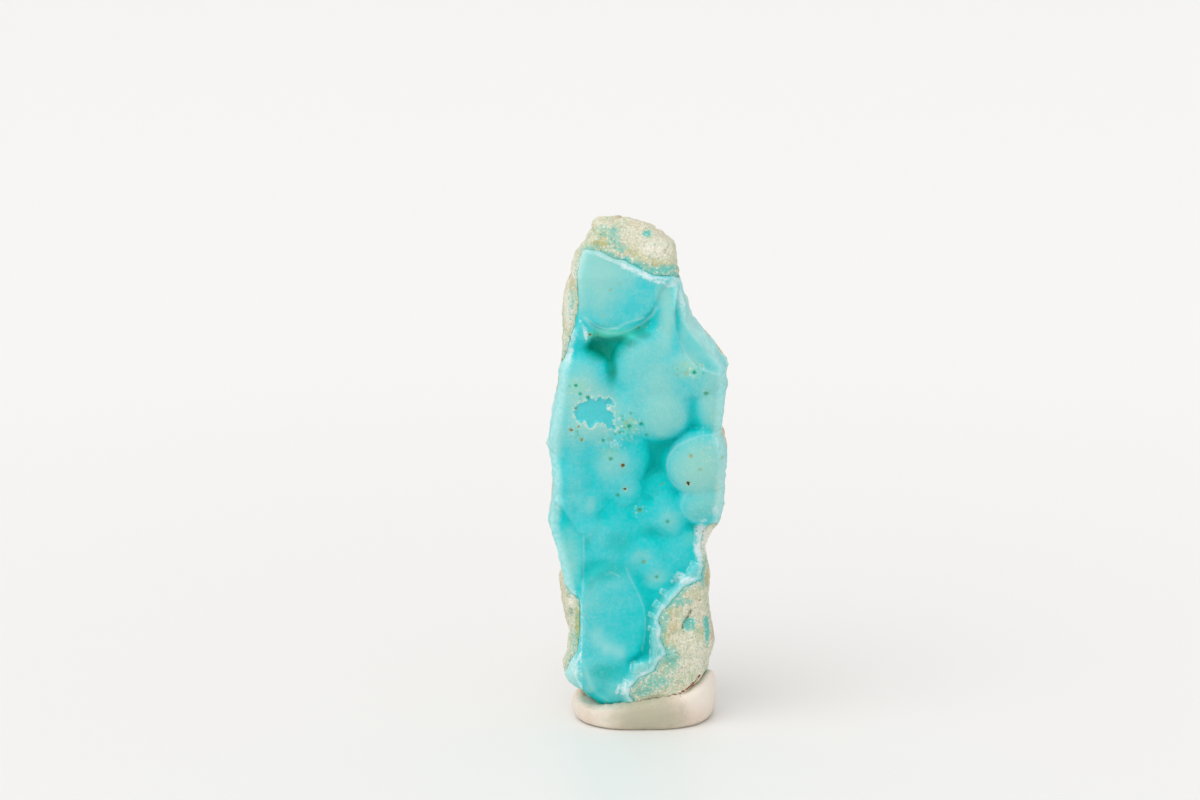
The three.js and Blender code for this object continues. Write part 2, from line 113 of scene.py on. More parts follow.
# The botryoids: x, z, radius in x, radius in z, the y of the crest, how much the dome falls towards
# its rim, and how softly it runs into those before it.
DOME_SKIRT = 5  # slope of a botryoid beyond its rim
BOTRYOIDS = [
    (-2.6, 30, 6.4, 7, -6.2, 1.4, 2),
    (-5, 25.4, 5, 5, -6.2, 1, 2),
    (2.6, 16, 4, 8, -6.4, 1.2, 1.5),  # right of the shin
    (5.5, 25.9, 3.9, 4.2, -6.3, 1.4, 1.5),
    (3.9, 59.2, 2.9, 5.8, -6.6, 1.5, 0.8),  # ridge beside the crown
    (8.2, 57.6, 4.6, 6, -7.2, 0.7, 1),  # under the chip
    (6.4, 51.3, 4.8, 3, -7.6, 1, 2),  # right of the shoulder
    (2.5, 47, 5, 5, -8.1, 2, 2.4),  # breast
    (3.7, 46, 3.3, 3.3, -8.45, 1.2, 1.3),  # boss on the breast
    (1.5, 52.2, 5.6, 5.9, -8.1, 2.6, 1.6),  # shoulder
    (-8.4, 44.2, 4.9, 5.6, -7.8, 2.4, 2),  # flank
    (-4.4, 45.2, 4.5, 4.5, -7.2, 1.8, 2.5),  # under the window
    (-7.6, 50, 4.7, 5.2, -7.8, 2.8, 1.6),  # cheek
    (-2.6, 39.6, 4.4, 4.3, -7, 1.6, 2),  # belly
    (-6, 37.8, 4, 4.4, -6.6, 1.4, 2),
    (-2, 34.9, 2.6, 2.4, -6.6, 0.9, 1.2),  # button
    (-6.7, 33.1, 1.9, 1.9, -6.4, 0.5, 1),
    (-5.6, 28, 1.9, 1.9, -6.35, 0.5, 1),
    (3.4, 35.3, 2.3, 2.3, -6.4, 0.9, 1.2),
    (4.3, 31.2, 3, 3.2, -6.8, 1.3, 1.2),
    (0.9, 24.8, 2.8, 2.8, -6.5, 0.8, 1.2),
    (2.7, 22.3, 2.6, 2.5, -6.4, 0.7, 1),
    (-3.6, 16.2, 4.8, 7.4, -6.9, 0.9, 1.4),  # shin
    (-6.4, 11.6, 3.6, 5, -6.7, 0.9, 2),
    (-6.6, 8.2, 2.6, 3.4, -7.1, 1.4, 1),
    (-3.2, 6.4, 3.9, 3.4, -7, 1.4, 1.2),  # toe
    (-9.9, 36.6, 3.2, 4.8, -7, 2.2, 1.8),
    (-8.8, 30.6, 3, 3.6, -6.4, 0.8, 2),
    (-11, 31.2, 2.2, 3, -6.7, 1.6, 1.2),
    (9.8, 47.4, 2.9, 5.2, -7.2, 2, 1.4),
    (8.6, 51.4, 3.2, 3.2, -7.2, 2, 1.6),
    (-9.6, 7.8, 1.7, 2.4, -6.6, 1.6, 0.6),
    (-8.9, 56.3, 2, 2.4, -6.4, 0.8, 1),
    (-7.9, 58.2, 1.7, 1.9, -6.5, 0.6, 1),  # left foot of the crown
    (8.9, 33.4, 3.4, 3.7, -7.8, 2, 0.8),  # below the knuckle
    (8.4, 38.9, 4.5, 5, -8.6, 2.2, 0.25),  # knuckle
]

# Lumps of host rock: the crest's two humps, and the lump that shows past the left side.
ROCK_LUMPS = [
    (-3.9, -0.4, 70.6, 3.4, 3.4, 2.7),
    (0.9, -0.2, 69.6, 3.1, 3.6, 2.6),
    (-8.7, 4.2, 17.6, 2.5, 4.2, 5.4),
]

# Flat breaks, each a plane that has stone only behind it: a point on it, and the way it faces.
BREAKS = [
    ((1, 8.9, 34), (0.13, 0.98, -0.02)),  # back
    ((-1, 7.7, 56), (-0.06, 0.97, 0.2)),  # back, above
    ((-2, 8.7, 17), (-0.14, 0.96, -0.13)),  # back, below
    ((-8.6, 6.2, 50), (-0.66, 0.74, 0.1)),  # back, upper left
    ((8.8, 6.4, 44), (0.72, 0.69, 0.06)),  # back, upper right
    ((-7.6, 7, 10), (-0.5, 0.84, -0.2)),  # back, lower left
    ((8.4, 6.6, 14), (0.78, 0.62, -0.1)),  # back, lower right
    ((0, 5.4, 67), (0.1, 0.8, 0.6)),  # back, under the crest
    ((8.7, -7.2, 7.2), (0.70, -0.2, -0.68)),  # front, lower right
    ((-7, -6.5, 4.7), (-0.62, -0.25, -0.75)),  # front, lower left
]

# The crust is chipped beside the shoulder: the chip's outline in x and z, and its plane.
CHIP = [
    (6, 66), (5.3, 62.5), (5, 60.2), (5.2, 58), (5.9, 56.2), (6.5, 54.9), (7.4, 53.9), (8.2, 53),
    (9.8, 52.4), (11.2, 51.7), (16, 51.2), (16, 66),
]
CHIP_FACE = ((5.4, -6.65, 57), (0.22, -1, 0.23))

# Where the crust shows on the front: x, z. It runs past the stone where it reaches a side.
CRUST = [
    (-8.6, 69.9), (-5.4, 69), (-1.9, 67.7), (1.6, 66), (5.3, 65.3), (18, 65), (18, 30), (10.3, 29.7),
    (9.3, 28.6), (9, 26.8), (9.3, 25.1), (9.1, 21.6), (7.9, 21.3), (6.5, 20.8), (5.7, 20), (4.7, 18.8),
    (3.6, 17.3), (3, 15.9), (3.5, 14.9), (3.3, 13.7), (3.4, 12.4), (4.1, 11), (3, 10), (2.2, 8.5),
    (0.2, 7.5), (-1, 6), (-1, 4.6), (-0.5, 4), (-0.5, -2), (-18, -2), (-18, 7.2), (-10.8, 8.4), (-9.6, 9.6),
    (-8.8, 11), (-8.3, 13.4), (-8.1, 17.4), (-8.5, 18.8), (-9.4, 19.7), (-10.4, 20.8), (-18, 23.6),
    (-18, 51.6), (-12, 52.4), (-10.7, 53.4), (-10, 55), (-9.6, 56.6), (-8.9, 58.6), (-8.4, 62.2),
    (-8.6, 66.5),
]

# The crust's back, which comes forward towards its edge, and how that edge leans on the sides.
CONTACT = {"depth": 0.9, "forward": 5.6, "within": 11, "wave": 0.45, "ragged": 0.5, "slant": 0.012,
           "middle": 42, "side": -5.2}
OVERLAP = 0.06  # of crust and rock, so that no gap shows between them

# The smooth blue window where the pale skin has come off the cheek: x, z.
WINDOW = [
    (-9.1, 46.5), (-8.8, 47.5), (-7.8, 48), (-7.2, 48.1), (-7, 48.9), (-6.6, 48.4), (-6, 48.2),
    (-5.4, 48.7), (-5, 48.1), (-4.6, 48.2), (-4.2, 48.5), (-3.5, 47.8), (-3.6, 47.4), (-4.4, 47.3),
    (-4.5, 46.8), (-3.7, 46.5), (-3.4, 45.5), (-3.7, 44.9), (-3.2, 44), (-4, 44), (-4.9, 44.7),
    (-5.4, 45.1), (-5.9, 45.2), (-6.2, 44.6), (-6.8, 44.3), (-7.3, 44.8), (-7.5, 45.3), (-8.2, 45),
    (-8.8, 45.5),
]
WINDOW_STEP = (-0.05, 0.25)  # where the step into the window starts and ends

# Flat faces on the growth: the shin, broken across, and the band on the left edge. Each is an
# outline in x and z, a plane, and how far the step along its outline spreads.
SHIN = [
    (-8.9, 12.2), (-8.6, 20.4), (-7.1, 22.6), (-5.4, 23.8), (-3.7, 24.2), (-2.4, 23.8), (-1.4, 22.4),
    (-0.2, 19.7), (0.7, 17.2), (1, 14.7), (0.8, 12.4), (0.1, 10.6), (-1.4, 9.6), (-3.6, 9.3), (-6.1, 9.9),
]
BAND = [
    (-14, 34.5), (-10.9, 32.6), (-9.4, 30.2), (-8.6, 28.9), (-7.8, 28.3), (-7.7, 24.8), (-7.9, 21.5),
    (-8.1, 17.5), (-14, 16),
]
FACETS = [
    (SHIN, ((-3.6, -6.8, 16.5), (0.07, -1, 0)), (-0.6, 0.9)),
    (BAND, ((-7.8, -6.35, 25), (-0.15, -1, 0)), (-0.1, 0.3)),
]

# Small square plates beside the lower rim: x, z, half width, half height, turn in degrees.
PLATES = [
    (3.7, 19.9, 0.5, 0.4, -32), (4.85, 21.5, 0.2, 0.2, -40), (2.6, 18.2, 0.3, 0.5, -30),
    (1.9, 16.6, 0.4, 0.3, -15), (2, 14.6, 0.6, 0.3, -8), (2.25, 11.9, 0.5, 2.2, -3),
    (-0.5, 8.9, 0.6, 0.55, 12), (0.85, 9.3, 0.5, 0.5, -4), (6.1, 22, 0.8, 0.5, -28),
    (7.9, 23.3, 0.7, 0.9, -20),
]

# Pores in the crust: x, z, radius, and tone, from 0 for brown to 1 for green.
PORES = [
    (-6.8, 57.3, 0.2, 0.2), (0, 58.2, 0.16, 0.8), (-8.8, 50.3, 0.22, 1), (-8.2, 49.1, 0.2, 1),
    (-7.1, 48.6, 0.26, 1), (-8.8, 47, 0.14, 0), (-9.5, 43.9, 0.27, 0.2), (-8.4, 44.4, 0.14, 0.2),
    (-8.6, 43.7, 0.13, 1), (-8.5, 43.1, 0.13, 1), (-8, 42.5, 0.22, 0.3), (-1.3, 44.4, 0.3, 1),
    (-1.8, 45, 0.16, 0.6), (-1.9, 44.2, 0.15, 0.8), (0.4, 44.8, 0.24, 1), (1.1, 43.1, 0.2, 1),
    (-1.1, 46.3, 0.13, 0.9), (-0.9, 45.4, 0.12, 0.5), (-3.3, 43.2, 0.13, 1), (-2.6, 43.5, 0.14, 1),
    (-5, 42.4, 0.2, 1), (-4, 42.4, 0.15, 0.6), (6.7, 52, 0.17, 0.5), (7.8, 52.2, 0.25, 1),
    (9.5, 49.1, 0.3, 0.9), (7.4, 40.3, 0.23, 0.4), (11.8, 39.9, 0.15, 0.4), (8.7, 38.4, 0.15, 0.4),
    (7, 36.3, 0.3, 0), (-2.2, 38.6, 0.3, 0.12), (-3.9, 39.6, 0.25, 0.9), (-1.9, 35.1, 0.24, 0),
    (-2.9, 34.2, 0.24, 0.95), (0.2, 31.9, 0.33, 0.9), (3.6, 35.9, 0.12, 0.9), (3.2, 35.7, 0.12, 0.9),
    (4.2, 30.4, 0.22, 0.95), (0.8, 24.4, 0.24, 0.8), (2.7, 22.2, 0.2, 0.9), (-2.7, 64.6, 0.12, 0.5),
    (-3.9, 63.7, 0.13, 0.5), (-4.9, 60.1, 0.12, 0.5), (-7.5, 67.4, 0.1, 0),
]

# Soft patches on the crust's front: x, z, radius in x, radius in z, strength.
# Bloom is chalky skin, and also painted light: it lightens faces turned from the light, the upper left of the
# crown's face, grooves, and a highlight on the breast's boss.
BLOOM_AND_LIGHT = [
    (10.2, 47.3, 1.9, 3.4, 0.7), (-3.5, 38.7, 3.1, 2.4, 0.5), (8.5, 32.4, 2.6, 2.3, 0.05),
    (-1.7, 34.9, 1.6, 1.3, 0.35), (-6.7, 33, 0.9, 1.3, 0.45), (-5.5, 29.3, 1.3, 2.2, 0.22),
    (4.6, 30.5, 1.7, 1.9, 0.4), (0.2, 32, 0.9, 0.7, 0.25), (0.6, 25.2, 1.8, 1.3, 0.4),
    (2.9, 22.4, 2, 1.2, 0.35), (3.2, 46.5, 2.3, 2.6, 0.4), (-11.3, 32, 1.1, 1.7, 0.05),
    (-11.5, 42.3, 1.1, 3.6, 0.5), (-8.6, 49.8, 2.8, 2.6, 0.6), (-6, 46.4, 4.8, 4, 0.8),
    (6.9, 53.5, 2, 1.7, 0.5), (9.9, 55.9, 3.6, 3.2, 0.5), (3.6, 57.6, 1.4, 3, 0.5), (-5.8, 67.2, 6, 5, 0.8),
    (4.2, 60.5, 1, 3.4, 0.6), (-8.1, 63.8, 0.9, 4.3, 0.4), (-5.4, 61.6, 3.6, 2.4, 0.35),
    (9.3, 38.6, 3.6, 3.8, 0.7), (-9.8, 24.5, 1.9, 5.4, 0.55), (-9.7, 7.6, 1.4, 2.4, 1),
    (-3.6, 14.5, 2.6, 1.6, 0.15), (3.4, 51, 4.4, 3.4, 0.3), (7.4, 27.5, 1.5, 1.5, 0.2),
    (11.7, 36, 0.8, 2.6, 0.7), (3.4, 63.2, 1.3, 2.2, 0.6), (11, 51.4, 1.5, 1.7, 0.6),
    (2.4, 21.4, 1.8, 1.3, 0.3), (11.4, 33, 0.9, 2, 0.6), (10.4, 33.2, 1.6, 1.6, 0.2),
    (-7, 5.5, 0.9, 0.9, 0.5), (6.4, 58.2, 0.8, 3, 0.45), (10.9, 47, 1, 1.6, 0.3), (4, 48, 1.5, 0.9, 0.3),
]
# Painted shade, with the crust's deeper colour: darker teal in the valleys and pits between botryoids.
DEEP_SHADE = [
    (3.7, 41.6, 1.7, 1.3, 0.8), (1.9, 36.8, 1.1, 2.9, 0.6), (7.7, 45.7, 0.6, 2.6, 0.5),
    (2.2, 28.7, 2, 1.1, 0.7), (-4.8, 23.4, 3.2, 1.4, 0.95), (-7, 21.9, 0.9, 1.3, 0.8),
    (1.7, 17.3, 0.8, 2.4, 0.9), (1.5, 12.4, 0.9, 3.2, 1), (-3.9, 8.1, 2.6, 1.3, 0.8),
    (-5.9, 5.1, 1.4, 0.8, 0.45), (2.2, 60, 1.3, 1.1, 0.4), (-4, 3.3, 3.6, 0.4, 0.5),
    (-7.4, 27.2, 0.5, 1.6, 0.6), (0.6, 21, 1.2, 2, 0.5), (9.9, 53.4, 1.1, 0.6, 0.15),
    (-2.6, 27.4, 2, 1.6, 0.7), (3.3, 18.6, 0.8, 1.1, 0.75), (-5.2, 6.3, 1.2, 0.9, 0.4),
    (8.9, 31.6, 1.6, 1.2, 0.3), (-3.6, 58.8, 2.6, 0.8, 0.25), (-5.6, 22.6, 1.6, 0.9, 0.5),
    (-5.4, 8.4, 1.5, 1.2, 0.55), (5, 43, 1, 1.2, 0.4), (2.6, 12, 0.7, 2.6, 0.5),
]
SHADE = [
    (-4.9, 55, 2.4, 1.4, 0.85), (-3.8, 52.6, 0.8, 2.1, 0.9), (-6.9, 55.5, 1, 0.7, 0.5),
    (-2.2, 56.4, 2, 0.6, 0.6), (0.4, 57.4, 1.3, 0.6, 0.5), (-2.2, 56, 1.4, 0.9, 0.35),
]
# Painted light: a brighter teal on the lip under the crown's edge, which faces down into shade.
LIT_LIP = [(-5, 57.2, 2.4, 0.9, 0.9), (-2.2, 57.4, 2, 0.9, 0.7), (0.4, 58.2, 1.4, 0.6, 0.3)]
GREEN = [
    (6.9, 52.6, 2.3, 1.4, 0.45), (-8.5, 50.1, 1.7, 1.1, 0.5), (-1.2, 44.4, 1.7, 1.7, 0.5),
    (-4, 40.5, 1.7, 1.1, 0.4), (11.2, 44.4, 0.9, 2.9, 0.4), (11.6, 35, 0.9, 2, 0.5),
    (8.4, 38.7, 3.1, 3.7, 0.3), (7.4, 27.5, 1.4, 1.6, 0.25), (9.6, 33.4, 2, 2, 0.2),
]

# Fine pale lines on the crust's front: width, strength, and the points along each as x, z. Those of
# frost also stand out a little, in millimetres.
FROST_RISE = 0.08
FROST = [
    (0.2, 0.4, [(-8.3, 19.3), (-8, 16.1), (-8.1, 13), (-8.2, 9), (-8, 5.5)]),
    (0.26, 0.5, [(-9.9, 56.2), (-9.8, 57.5), (-9.4, 58.4)]),
    (0.31, 0.5, [(-7.4, 56.5), (-7.4, 58.2)]),
    (0.36, 0.6, [(-9.9, 53.5), (-9.4, 55.2)]),
    (0.2, 0.6, [(-8.2, 11), (-8.9, 9.4), (-8.9, 7.4), (-8.2, 6)]),
    (0.29, 0.6, [(-3, 5.1), (-2.7, 6.4)]),
    (0.29, 0.6, [(-2, 5.1), (-1.7, 7)]),
    (0.29, 0.5, [(-2.4, 4.9), (-2.3, 6.1)]),
    (0.25, 0.4, [(-8.2, 59.4), (-7.8, 58.4), (-7.5, 57.4)]),
    (0.3, 0.8, [(5.9, 65), (6.2, 63.4), (6.5, 61.6)]),
    (0.45, 0.55, [(-2.2, 67.1), (-0.4, 66.3), (1.5, 65.3), (3, 64.8), (4.8, 64.5)]),
]
ARCS = [
    (0.2, 0.45, [(-7.7, 59.8), (-7, 58.9), (-5.9, 57.9), (-4.4, 57.5), (-2.6, 57.5), (-1.1, 58.1),
                 (0.6, 58.9), (2, 60.2), (2.5, 61.2)]),
    (0.16, 0.5, [(-7.4, 59.8), (-6, 58.6), (-4.4, 58.1), (-2.9, 58.4), (-1.8, 59.1), (0.7, 59.8)]),
    (0.11, 0.3, [(-1.7, 23.5), (-1.3, 22.3), (-0.2, 20.2), (0.7, 18), (1.1, 15.5), (0.9, 13.4),
                 (0.6, 11.3)]),
    (0.8, 0.15, [(-7.3, 18.4), (-6.6, 19.6), (-5.3, 20.2)]),
    (0.9, 0.1, [(-4, 21), (-2.6, 21.2)]),
    (0.14, 0.3, [(-4.6, 22.7), (-3.6, 22.9), (-2.6, 22.3)]),
    (1.3, 0.65, [(8, 58.4), (9.6, 56.4), (11, 54.2)]),
    (0.5, 0.5, [(6.6, 60.6), (8.4, 57)]),
    (0.3, 0.25, [(-7.9, 10), (-7, 6.9), (-5.9, 4.9), (-4.4, 3.9)]),
    (0.12, 0.3, [(-7.8, 28.3), (-7.7, 24.8), (-8, 19.3)]),
    (0.14, 0.4, [(11.2, 43.1), (9.2, 43.1), (7.3, 42.6), (5.4, 41.6), (4.3, 40.1), (4, 38.5), (4.3, 36.8),
                 (5.3, 35.5)]),
    (0.2, 0.25, [(6.7, 34.4), (6, 32.8), (6.5, 31.5), (7.9, 30.5)]),
    (1.2, 0.45, [(-5.8, 13.4), (-4.6, 11.7), (-2.8, 11.2)]),
    (0.14, 0.35, [(5.2, 63.6), (5, 60.2), (5.2, 58), (6.5, 54.9), (8.2, 53), (11.2, 51.7)]),
]

# Chalky frosted patches: x, z, radius in x, radius in z, strength.
FROSTED = [
    (8.9, 26.2, 1.1, 2.4, 0.7), (9, 28.8, 1, 1.3, 0.7), (5.9, 22, 1.2, 0.9, 0.5),
    (-1.4, 6.2, 1.3, 1.3, 0.45), (6.4, 37.8, 0.5, 0.4, 0.35), (10.9, 32.2, 0.6, 0.9, 0.4),
    (9.2, 30.7, 0.7, 0.4, 0.4), (-3.4, 41.9, 1.3, 0.9, 0.3), (-4.2, 46.9, 0.4, 0.3, 0.6),
    (-2.7, 45.4, 0.3, 0.3, 0.5), (-9.3, 57.6, 0.9, 1.5, 0.4), (-9.8, 54, 0.7, 1.3, 0.4),
    (6, 62.8, 0.6, 1.8, 0.6), (-6.8, 48.6, 0.5, 0.3, 0.4), (0.6, 66, 1.6, 0.6, 0.5),
    (4.4, 64.4, 1, 0.5, 0.5), (-9.3, 19.7, 0.9, 0.7, 0.4), (-9, 8.6, 0.9, 1.6, 0.4),
    (7.4, 21.9, 1.1, 0.6, 0.55), (3.5, 17.8, 0.5, 0.8, 0.5), (3.1, 14.3, 0.6, 0.8, 0.45),
    (3.2, 10.4, 0.9, 0.5, 0.5), (0.9, 8.2, 0.8, 0.5, 0.45), (-0.9, 5.2, 0.6, 0.8, 0.4),
]
# Where ochre and green specks crowd the skin.
SPECKLED = [
    (-2.2, 44.5, 2.6, 1.8, 0.9), (-8.4, 49.8, 1.7, 1.5, 0.8), (7.4, 52.5, 2.8, 1, 0.9),
    (-8.6, 43.4, 1.2, 1.4, 0.4), (11.4, 35, 0.8, 2.6, 0.7), (9, 32, 2.4, 1.4, 0.25),
    (10.2, 42, 1.6, 4, 0.4), (12, 33.6, 0.6, 1.8, 0.7), (-3.4, 42, 2.4, 1.4, 0.5),
    (-6.2, 56.8, 1.2, 0.6, 0.5), (2.6, 58.4, 1.6, 0.6, 0.4), (0.2, 31.9, 0.9, 0.9, 0.7),
    (9.6, 49.4, 1.6, 1.4, 0.4),
]
PATCHES = {"bloom_and_light": BLOOM_AND_LIGHT, "deep": DEEP_SHADE, "shade": SHADE, "lip": LIT_LIP, "green": GREEN, "speckled": SPECKLED}

# The white rim along the crust's edge: where it fades in above and below, in z and then in x, its
# share where it is faintest, and its share below.
RIM = {"above": (63.5, 65), "above_right_of": (-8.2, -6.8), "full_right_of": (-5, -1),
       "below": (25, 23.5), "below_right_of": (-2.6, -1.6), "least": 0.12, "share_below": 0.65}
# The strip that is white and the strip that stands out, each by the distance past the crust's edge:
# where it begins, and where and by how much it weakens.
RIM_WHITE = {"begins": (-0.7, -0.55), "weakens": (-0.5, 0), "by": 0.75}
RIM_RAISED = {"begins": (-1, -0.6), "weakens": (-0.4, 0.1), "by": 0.6}

# Where the edges of these fade, in distance inside their outlines, and where in y the front begins.
PLATE_STEP = (-0.1, 0.15)
PORE_STEP = (-0.1, 0.25)
CRUST_FRONT = (-2, -3.5)
ROCK_FRONT = (0, -3.5)

# Stains on the host rock's front: x, z, radius in x, radius in z, strength.
TEAL_STAINS = [
    (-4.8, 71.6, 1.5, 1, 0.45), (-3.4, 70.7, 1, 1.6, 0.5), (-5.8, 69.5, 1.4, 0.7, 0.55),
    (-2.4, 69.4, 1, 0.7, 0.5), (1.2, 71.3, 0.8, 0.5, 0.9), (3.5, 66.5, 2.4, 0.7, 0.8),
    (0.4, 67.3, 1.6, 0.5, 0.6), (7.3, 15.9, 1, 0.55, 1), (7, 15.1, 0.55, 0.8, 1), (0.6, 5.4, 1.4, 1, 0.6),
    (7.9, 15.2, 0.3, 0.9, 0.9), (9.9, 14, 0.4, 2, 1), (9.6, 15.4, 0.4, 0.8, 0.9),
    (5.6, 18.7, 2.2, 0.8, 0.7), (4, 16.4, 0.8, 1.4, 0.6), (4.7, 10.4, 1.5, 2.2, 0.7),
    (2.6, 6.9, 2.6, 1.6, 0.6), (-9.4, 61.5, 0.9, 3.4, 0.45), (-9.2, 12.4, 0.7, 2.4, 0.5),
    (10.2, 7.2, 1, 0.9, 0.6), (9.4, 21, 1, 1, 0.4), (-9.6, 16.6, 0.5, 1.4, 0.4),
]
OCHRE_STAINS = [
    (-5.6, 69.6, 0.9, 0.5, 0.9), (-5, 70.9, 0.7, 0.4, 0.6), (0.9, 67.2, 0.3, 0.3, 1),
    (2.4, 67.2, 0.25, 0.25, 1), (3.2, 67, 0.25, 0.25, 1), (4.2, 66.8, 0.3, 0.3, 1), (4.7, 9.9, 0.9, 1, 0.9),
    (4.9, 15.4, 1, 3.4, 0.3), (-9.3, 64.2, 0.7, 1.2, 0.5), (9.8, 21.6, 0.4, 1.4, 0.7),
    (-2.6, 68.6, 1.2, 0.4, 0.5),
]
OLIVE_STAINS = [
    (-8.6, 15, 0.5, 3.4, 0.8), (-5.4, 70, 1.6, 0.6, 0.7), (-4.9, 71.4, 0.9, 0.5, 0.6),
    (4.3, 17.8, 0.7, 1.4, 0.5), (3.8, 13, 0.5, 2.4, 0.6), (-9.5, 63, 0.6, 2.6, 0.25),
    (8.8, 14.2, 0.9, 1.6, 0.3),
]
MILKY_STAINS = [
    (7.75, 15.55, 0.22, 0.3, 1), (-9.6, 18.6, 0.5, 1, 0.7), (-9.4, 67, 0.5, 2.6, 0.7),
    (2.4, 69.4, 2.6, 1.8, 0.5), (8.8, 10, 1.8, 2.4, 0.4), (9.8, 27.2, 0.9, 2.4, 1),
    (-9.9, 61, 0.6, 2.8, 0.8),
]
RUST_STAINS = [(11.2, 11.2, 0.4, 1.6, 0.5), (-10.7, 58, 0.3, 1.8, 0.4), (5.4, 63.9, 0.3, 0.6, 0.5)]
RUST_LINES = [
    (0.16, 1, [(2.5, 3.9), (4.1, 4.4), (6, 5.2), (7, 5.7), (7.8, 6.4), (8.5, 7), (8.9, 7.7)]),
]
CRACKS = [
    (0.13, 1, [(7.6, 17.4), (7.1, 16.5), (6.4, 15.5), (6.3, 14.8)]),
    (0.08, 0.7, [(5.4, 11.4), (6, 11)]),
    (0.07, 0.7, [(8.2, 18.9), (9, 18.6)]),
]
PINK_STAINS = [(11, 14.2, 0.6, 2.4, 1)]
STAINS = {"teal": TEAL_STAINS, "ochre": OCHRE_STAINS, "olive": OLIVE_STAINS, "milky": MILKY_STAINS,
          "rust": RUST_STAINS, "pink": PINK_STAINS}

# The pat of putty, and how its side bulges, as height and share of the half width.
PUTTY = {"centre": (0.85, -0.8), "half_width": 10.45, "half_depth": 8.2, "squareness": 2.5,
         "top": 4.1, "lean": 0.045, "lip": 0.35, "heap": 0.42, "heap_at": 10.5, "heap_width": 2.6,
         "bank": 0.2, "bank_at": -9.6, "bank_width": 1.6, "overlap": 0.12}
# Painted shade on the putty, with smudges: darker in the middle under the stone's overhang and in two smaller
# patches.
PUTTY_SHADE_AND_SMUDGES = [
    (0.9, 2.4, 5.2, 5, 0.95), (-6.8, 2, 2, 1.6, 0.2), (5.5, 1.4, 2.2, 2.2, 0.4),
]
PUTTY_LIGHT = [(9.6, 5, 3, 3.2, 1)]  # painted light on the right part, which the rock's overhang shades
PUTTY_SIDE = [(0, 0.91), (0.5, 0.965), (1.2, 0.99), (2.2, 1), (3.2, 0.985), (3.8, 0.95), (4.15, 0.88),
              (4.3, 0.6)]

# The blocks that the pieces are meshed in: lowest and highest corner.
CRUST_BLOCK = ((-13.6, -10, 1), (13.6, 3.2, 71.4))
ROCK_BLOCK = ((-13.8, -8.6, 1), (13.8, 10.2, 74.4))
PUTTY_BLOCK = ((-10.6, -9.6, -0.6), (12.2, 8.6, 8.6))

# The stage: what the camera looks at, in millimetres, the way to the soft light and how wide it is,
# and the floor's corners, reach and darkening, in metres.
LOOKS_AT = (-5.43, 0, 46.6)
SUN_FROM = (-0.45, -0.55, 1)
SUN_SPREAD = math.radians(55)
FLOOR_CORNERS = 96
FLOOR_REACH = 4.0
# Painted shade on the floor: it darkens from the first distance to the second, towards the specimen.
NEAR_FLOOR = (0.35, 0.02)


def linear(red, green, blue):
    """A colour given as 0 to 255 values, as Blender's scene linear colour."""
    share = [value / 255 for value in (red, green, blue)]
    return tuple(s / 12.92 if s <= 0.04045 else ((s + 0.055) / 1.055) ** 2.4 for s in share)


# ---- Noise ----

def eased(share):
    """A share from 0 to 1 that starts and ends slowly."""
    return share * share * (3 - 2 * share)


def lattice_value(ix, iy, iz, seed):
    """A number from -1 to 1 for each point of a whole-number lattice, always the same."""
    with np.errstate(over="ignore"):
        mixed = (ix.astype(np.uint32) * np.uint32(374761393)
                 + iy.astype(np.uint32) * np.uint32(668265263)
                 + iz.astype(np.uint32) * np.uint32(2246822519)
                 + np.uint32(seed * 3266489917 % 2**32))
        mixed = (mixed ^ (mixed >> np.uint32(13))) * np.uint32(1274126177)
        mixed = (mixed ^ (mixed >> np.uint32(15))) * np.uint32(2654435761)
    return (mixed >> np.uint32(8)).astype(np.float32) * (2 / 2**24) - 1


def corners(cell, share):
    """The eight corners of lattice cells in turn, each with its weight at places in the cells."""
    for corner in range(8):
        step = [(corner >> axis) & 1 for axis in range(3)]
        weight = np.prod([share[:, k] if step[k] else 1 - share[:, k] for k in range(3)], axis=0)
        yield [cell[:, k] + step[k] for k in range(3)], weight


def noise(points, size, seed):
    """Smooth noise from -1 to 1 at points, an (n, 3) array, with lumps about size across."""
    place = points / size
    cell = np.floor(place)
    total = np.zeros(len(points), np.float32)
    for corner, weight in corners(cell.astype(np.int64), eased(place - cell)):
        total += weight * lattice_value(*corner, seed)
    return total


def rough(points, size, octaves, seed):
    """Noise with finer noise on it."""
    total = sum(0.5**k * noise(points, size / 2.1**k, seed + k) for k in range(octaves))
    return total / (2 - 0.5 ** (octaves - 1))


def shattered(points, size, seed):
    """Broken scoops about size across that meet in sharp ridges, mostly from -0.5 to 0.7."""
    place = points / size
    cell = np.floor(place).astype(np.int64)
    lowest = np.full(len(points), FAR)
    for turn in range(27):
        corner = [cell[:, k] + turn // 3**k % 3 - 1 for k in range(3)]
        away = [place[:, k] - corner[k] - 0.5 - 0.45 * lattice_value(*corner, seed + k) for k in range(3)]
        tipped = sum(part * lattice_value(*corner, seed + 3 + k) for k, part in enumerate(away))
        height = 1.1 * sum(part**2 for part in away) + 0.9 * tipped + 0.3 * lattice_value(*corner, seed + 6)
        lowest = np.minimum(lowest, height)
    return lowest


def front_points(x, z):
    """Places on the front, given by x and z, as points."""
    x, z = np.broadcast_arrays(x, z)
    return np.stack((x, np.zeros(x.shape), z), axis=-1).reshape(-1, 3)


# ---- Distance fields: each is negative inside the solid ----

def soft_step(value, low, high):
    """0 up to low and 1 from high on, with a smooth rise between. High may be the lower number."""
    return eased(np.clip((value - low) / (high - low), 0, 1))


def fade(distance, width):
    """1 at no distance, falling smoothly to 0 over a few widths."""
    return np.exp(-((distance / width) ** 2))


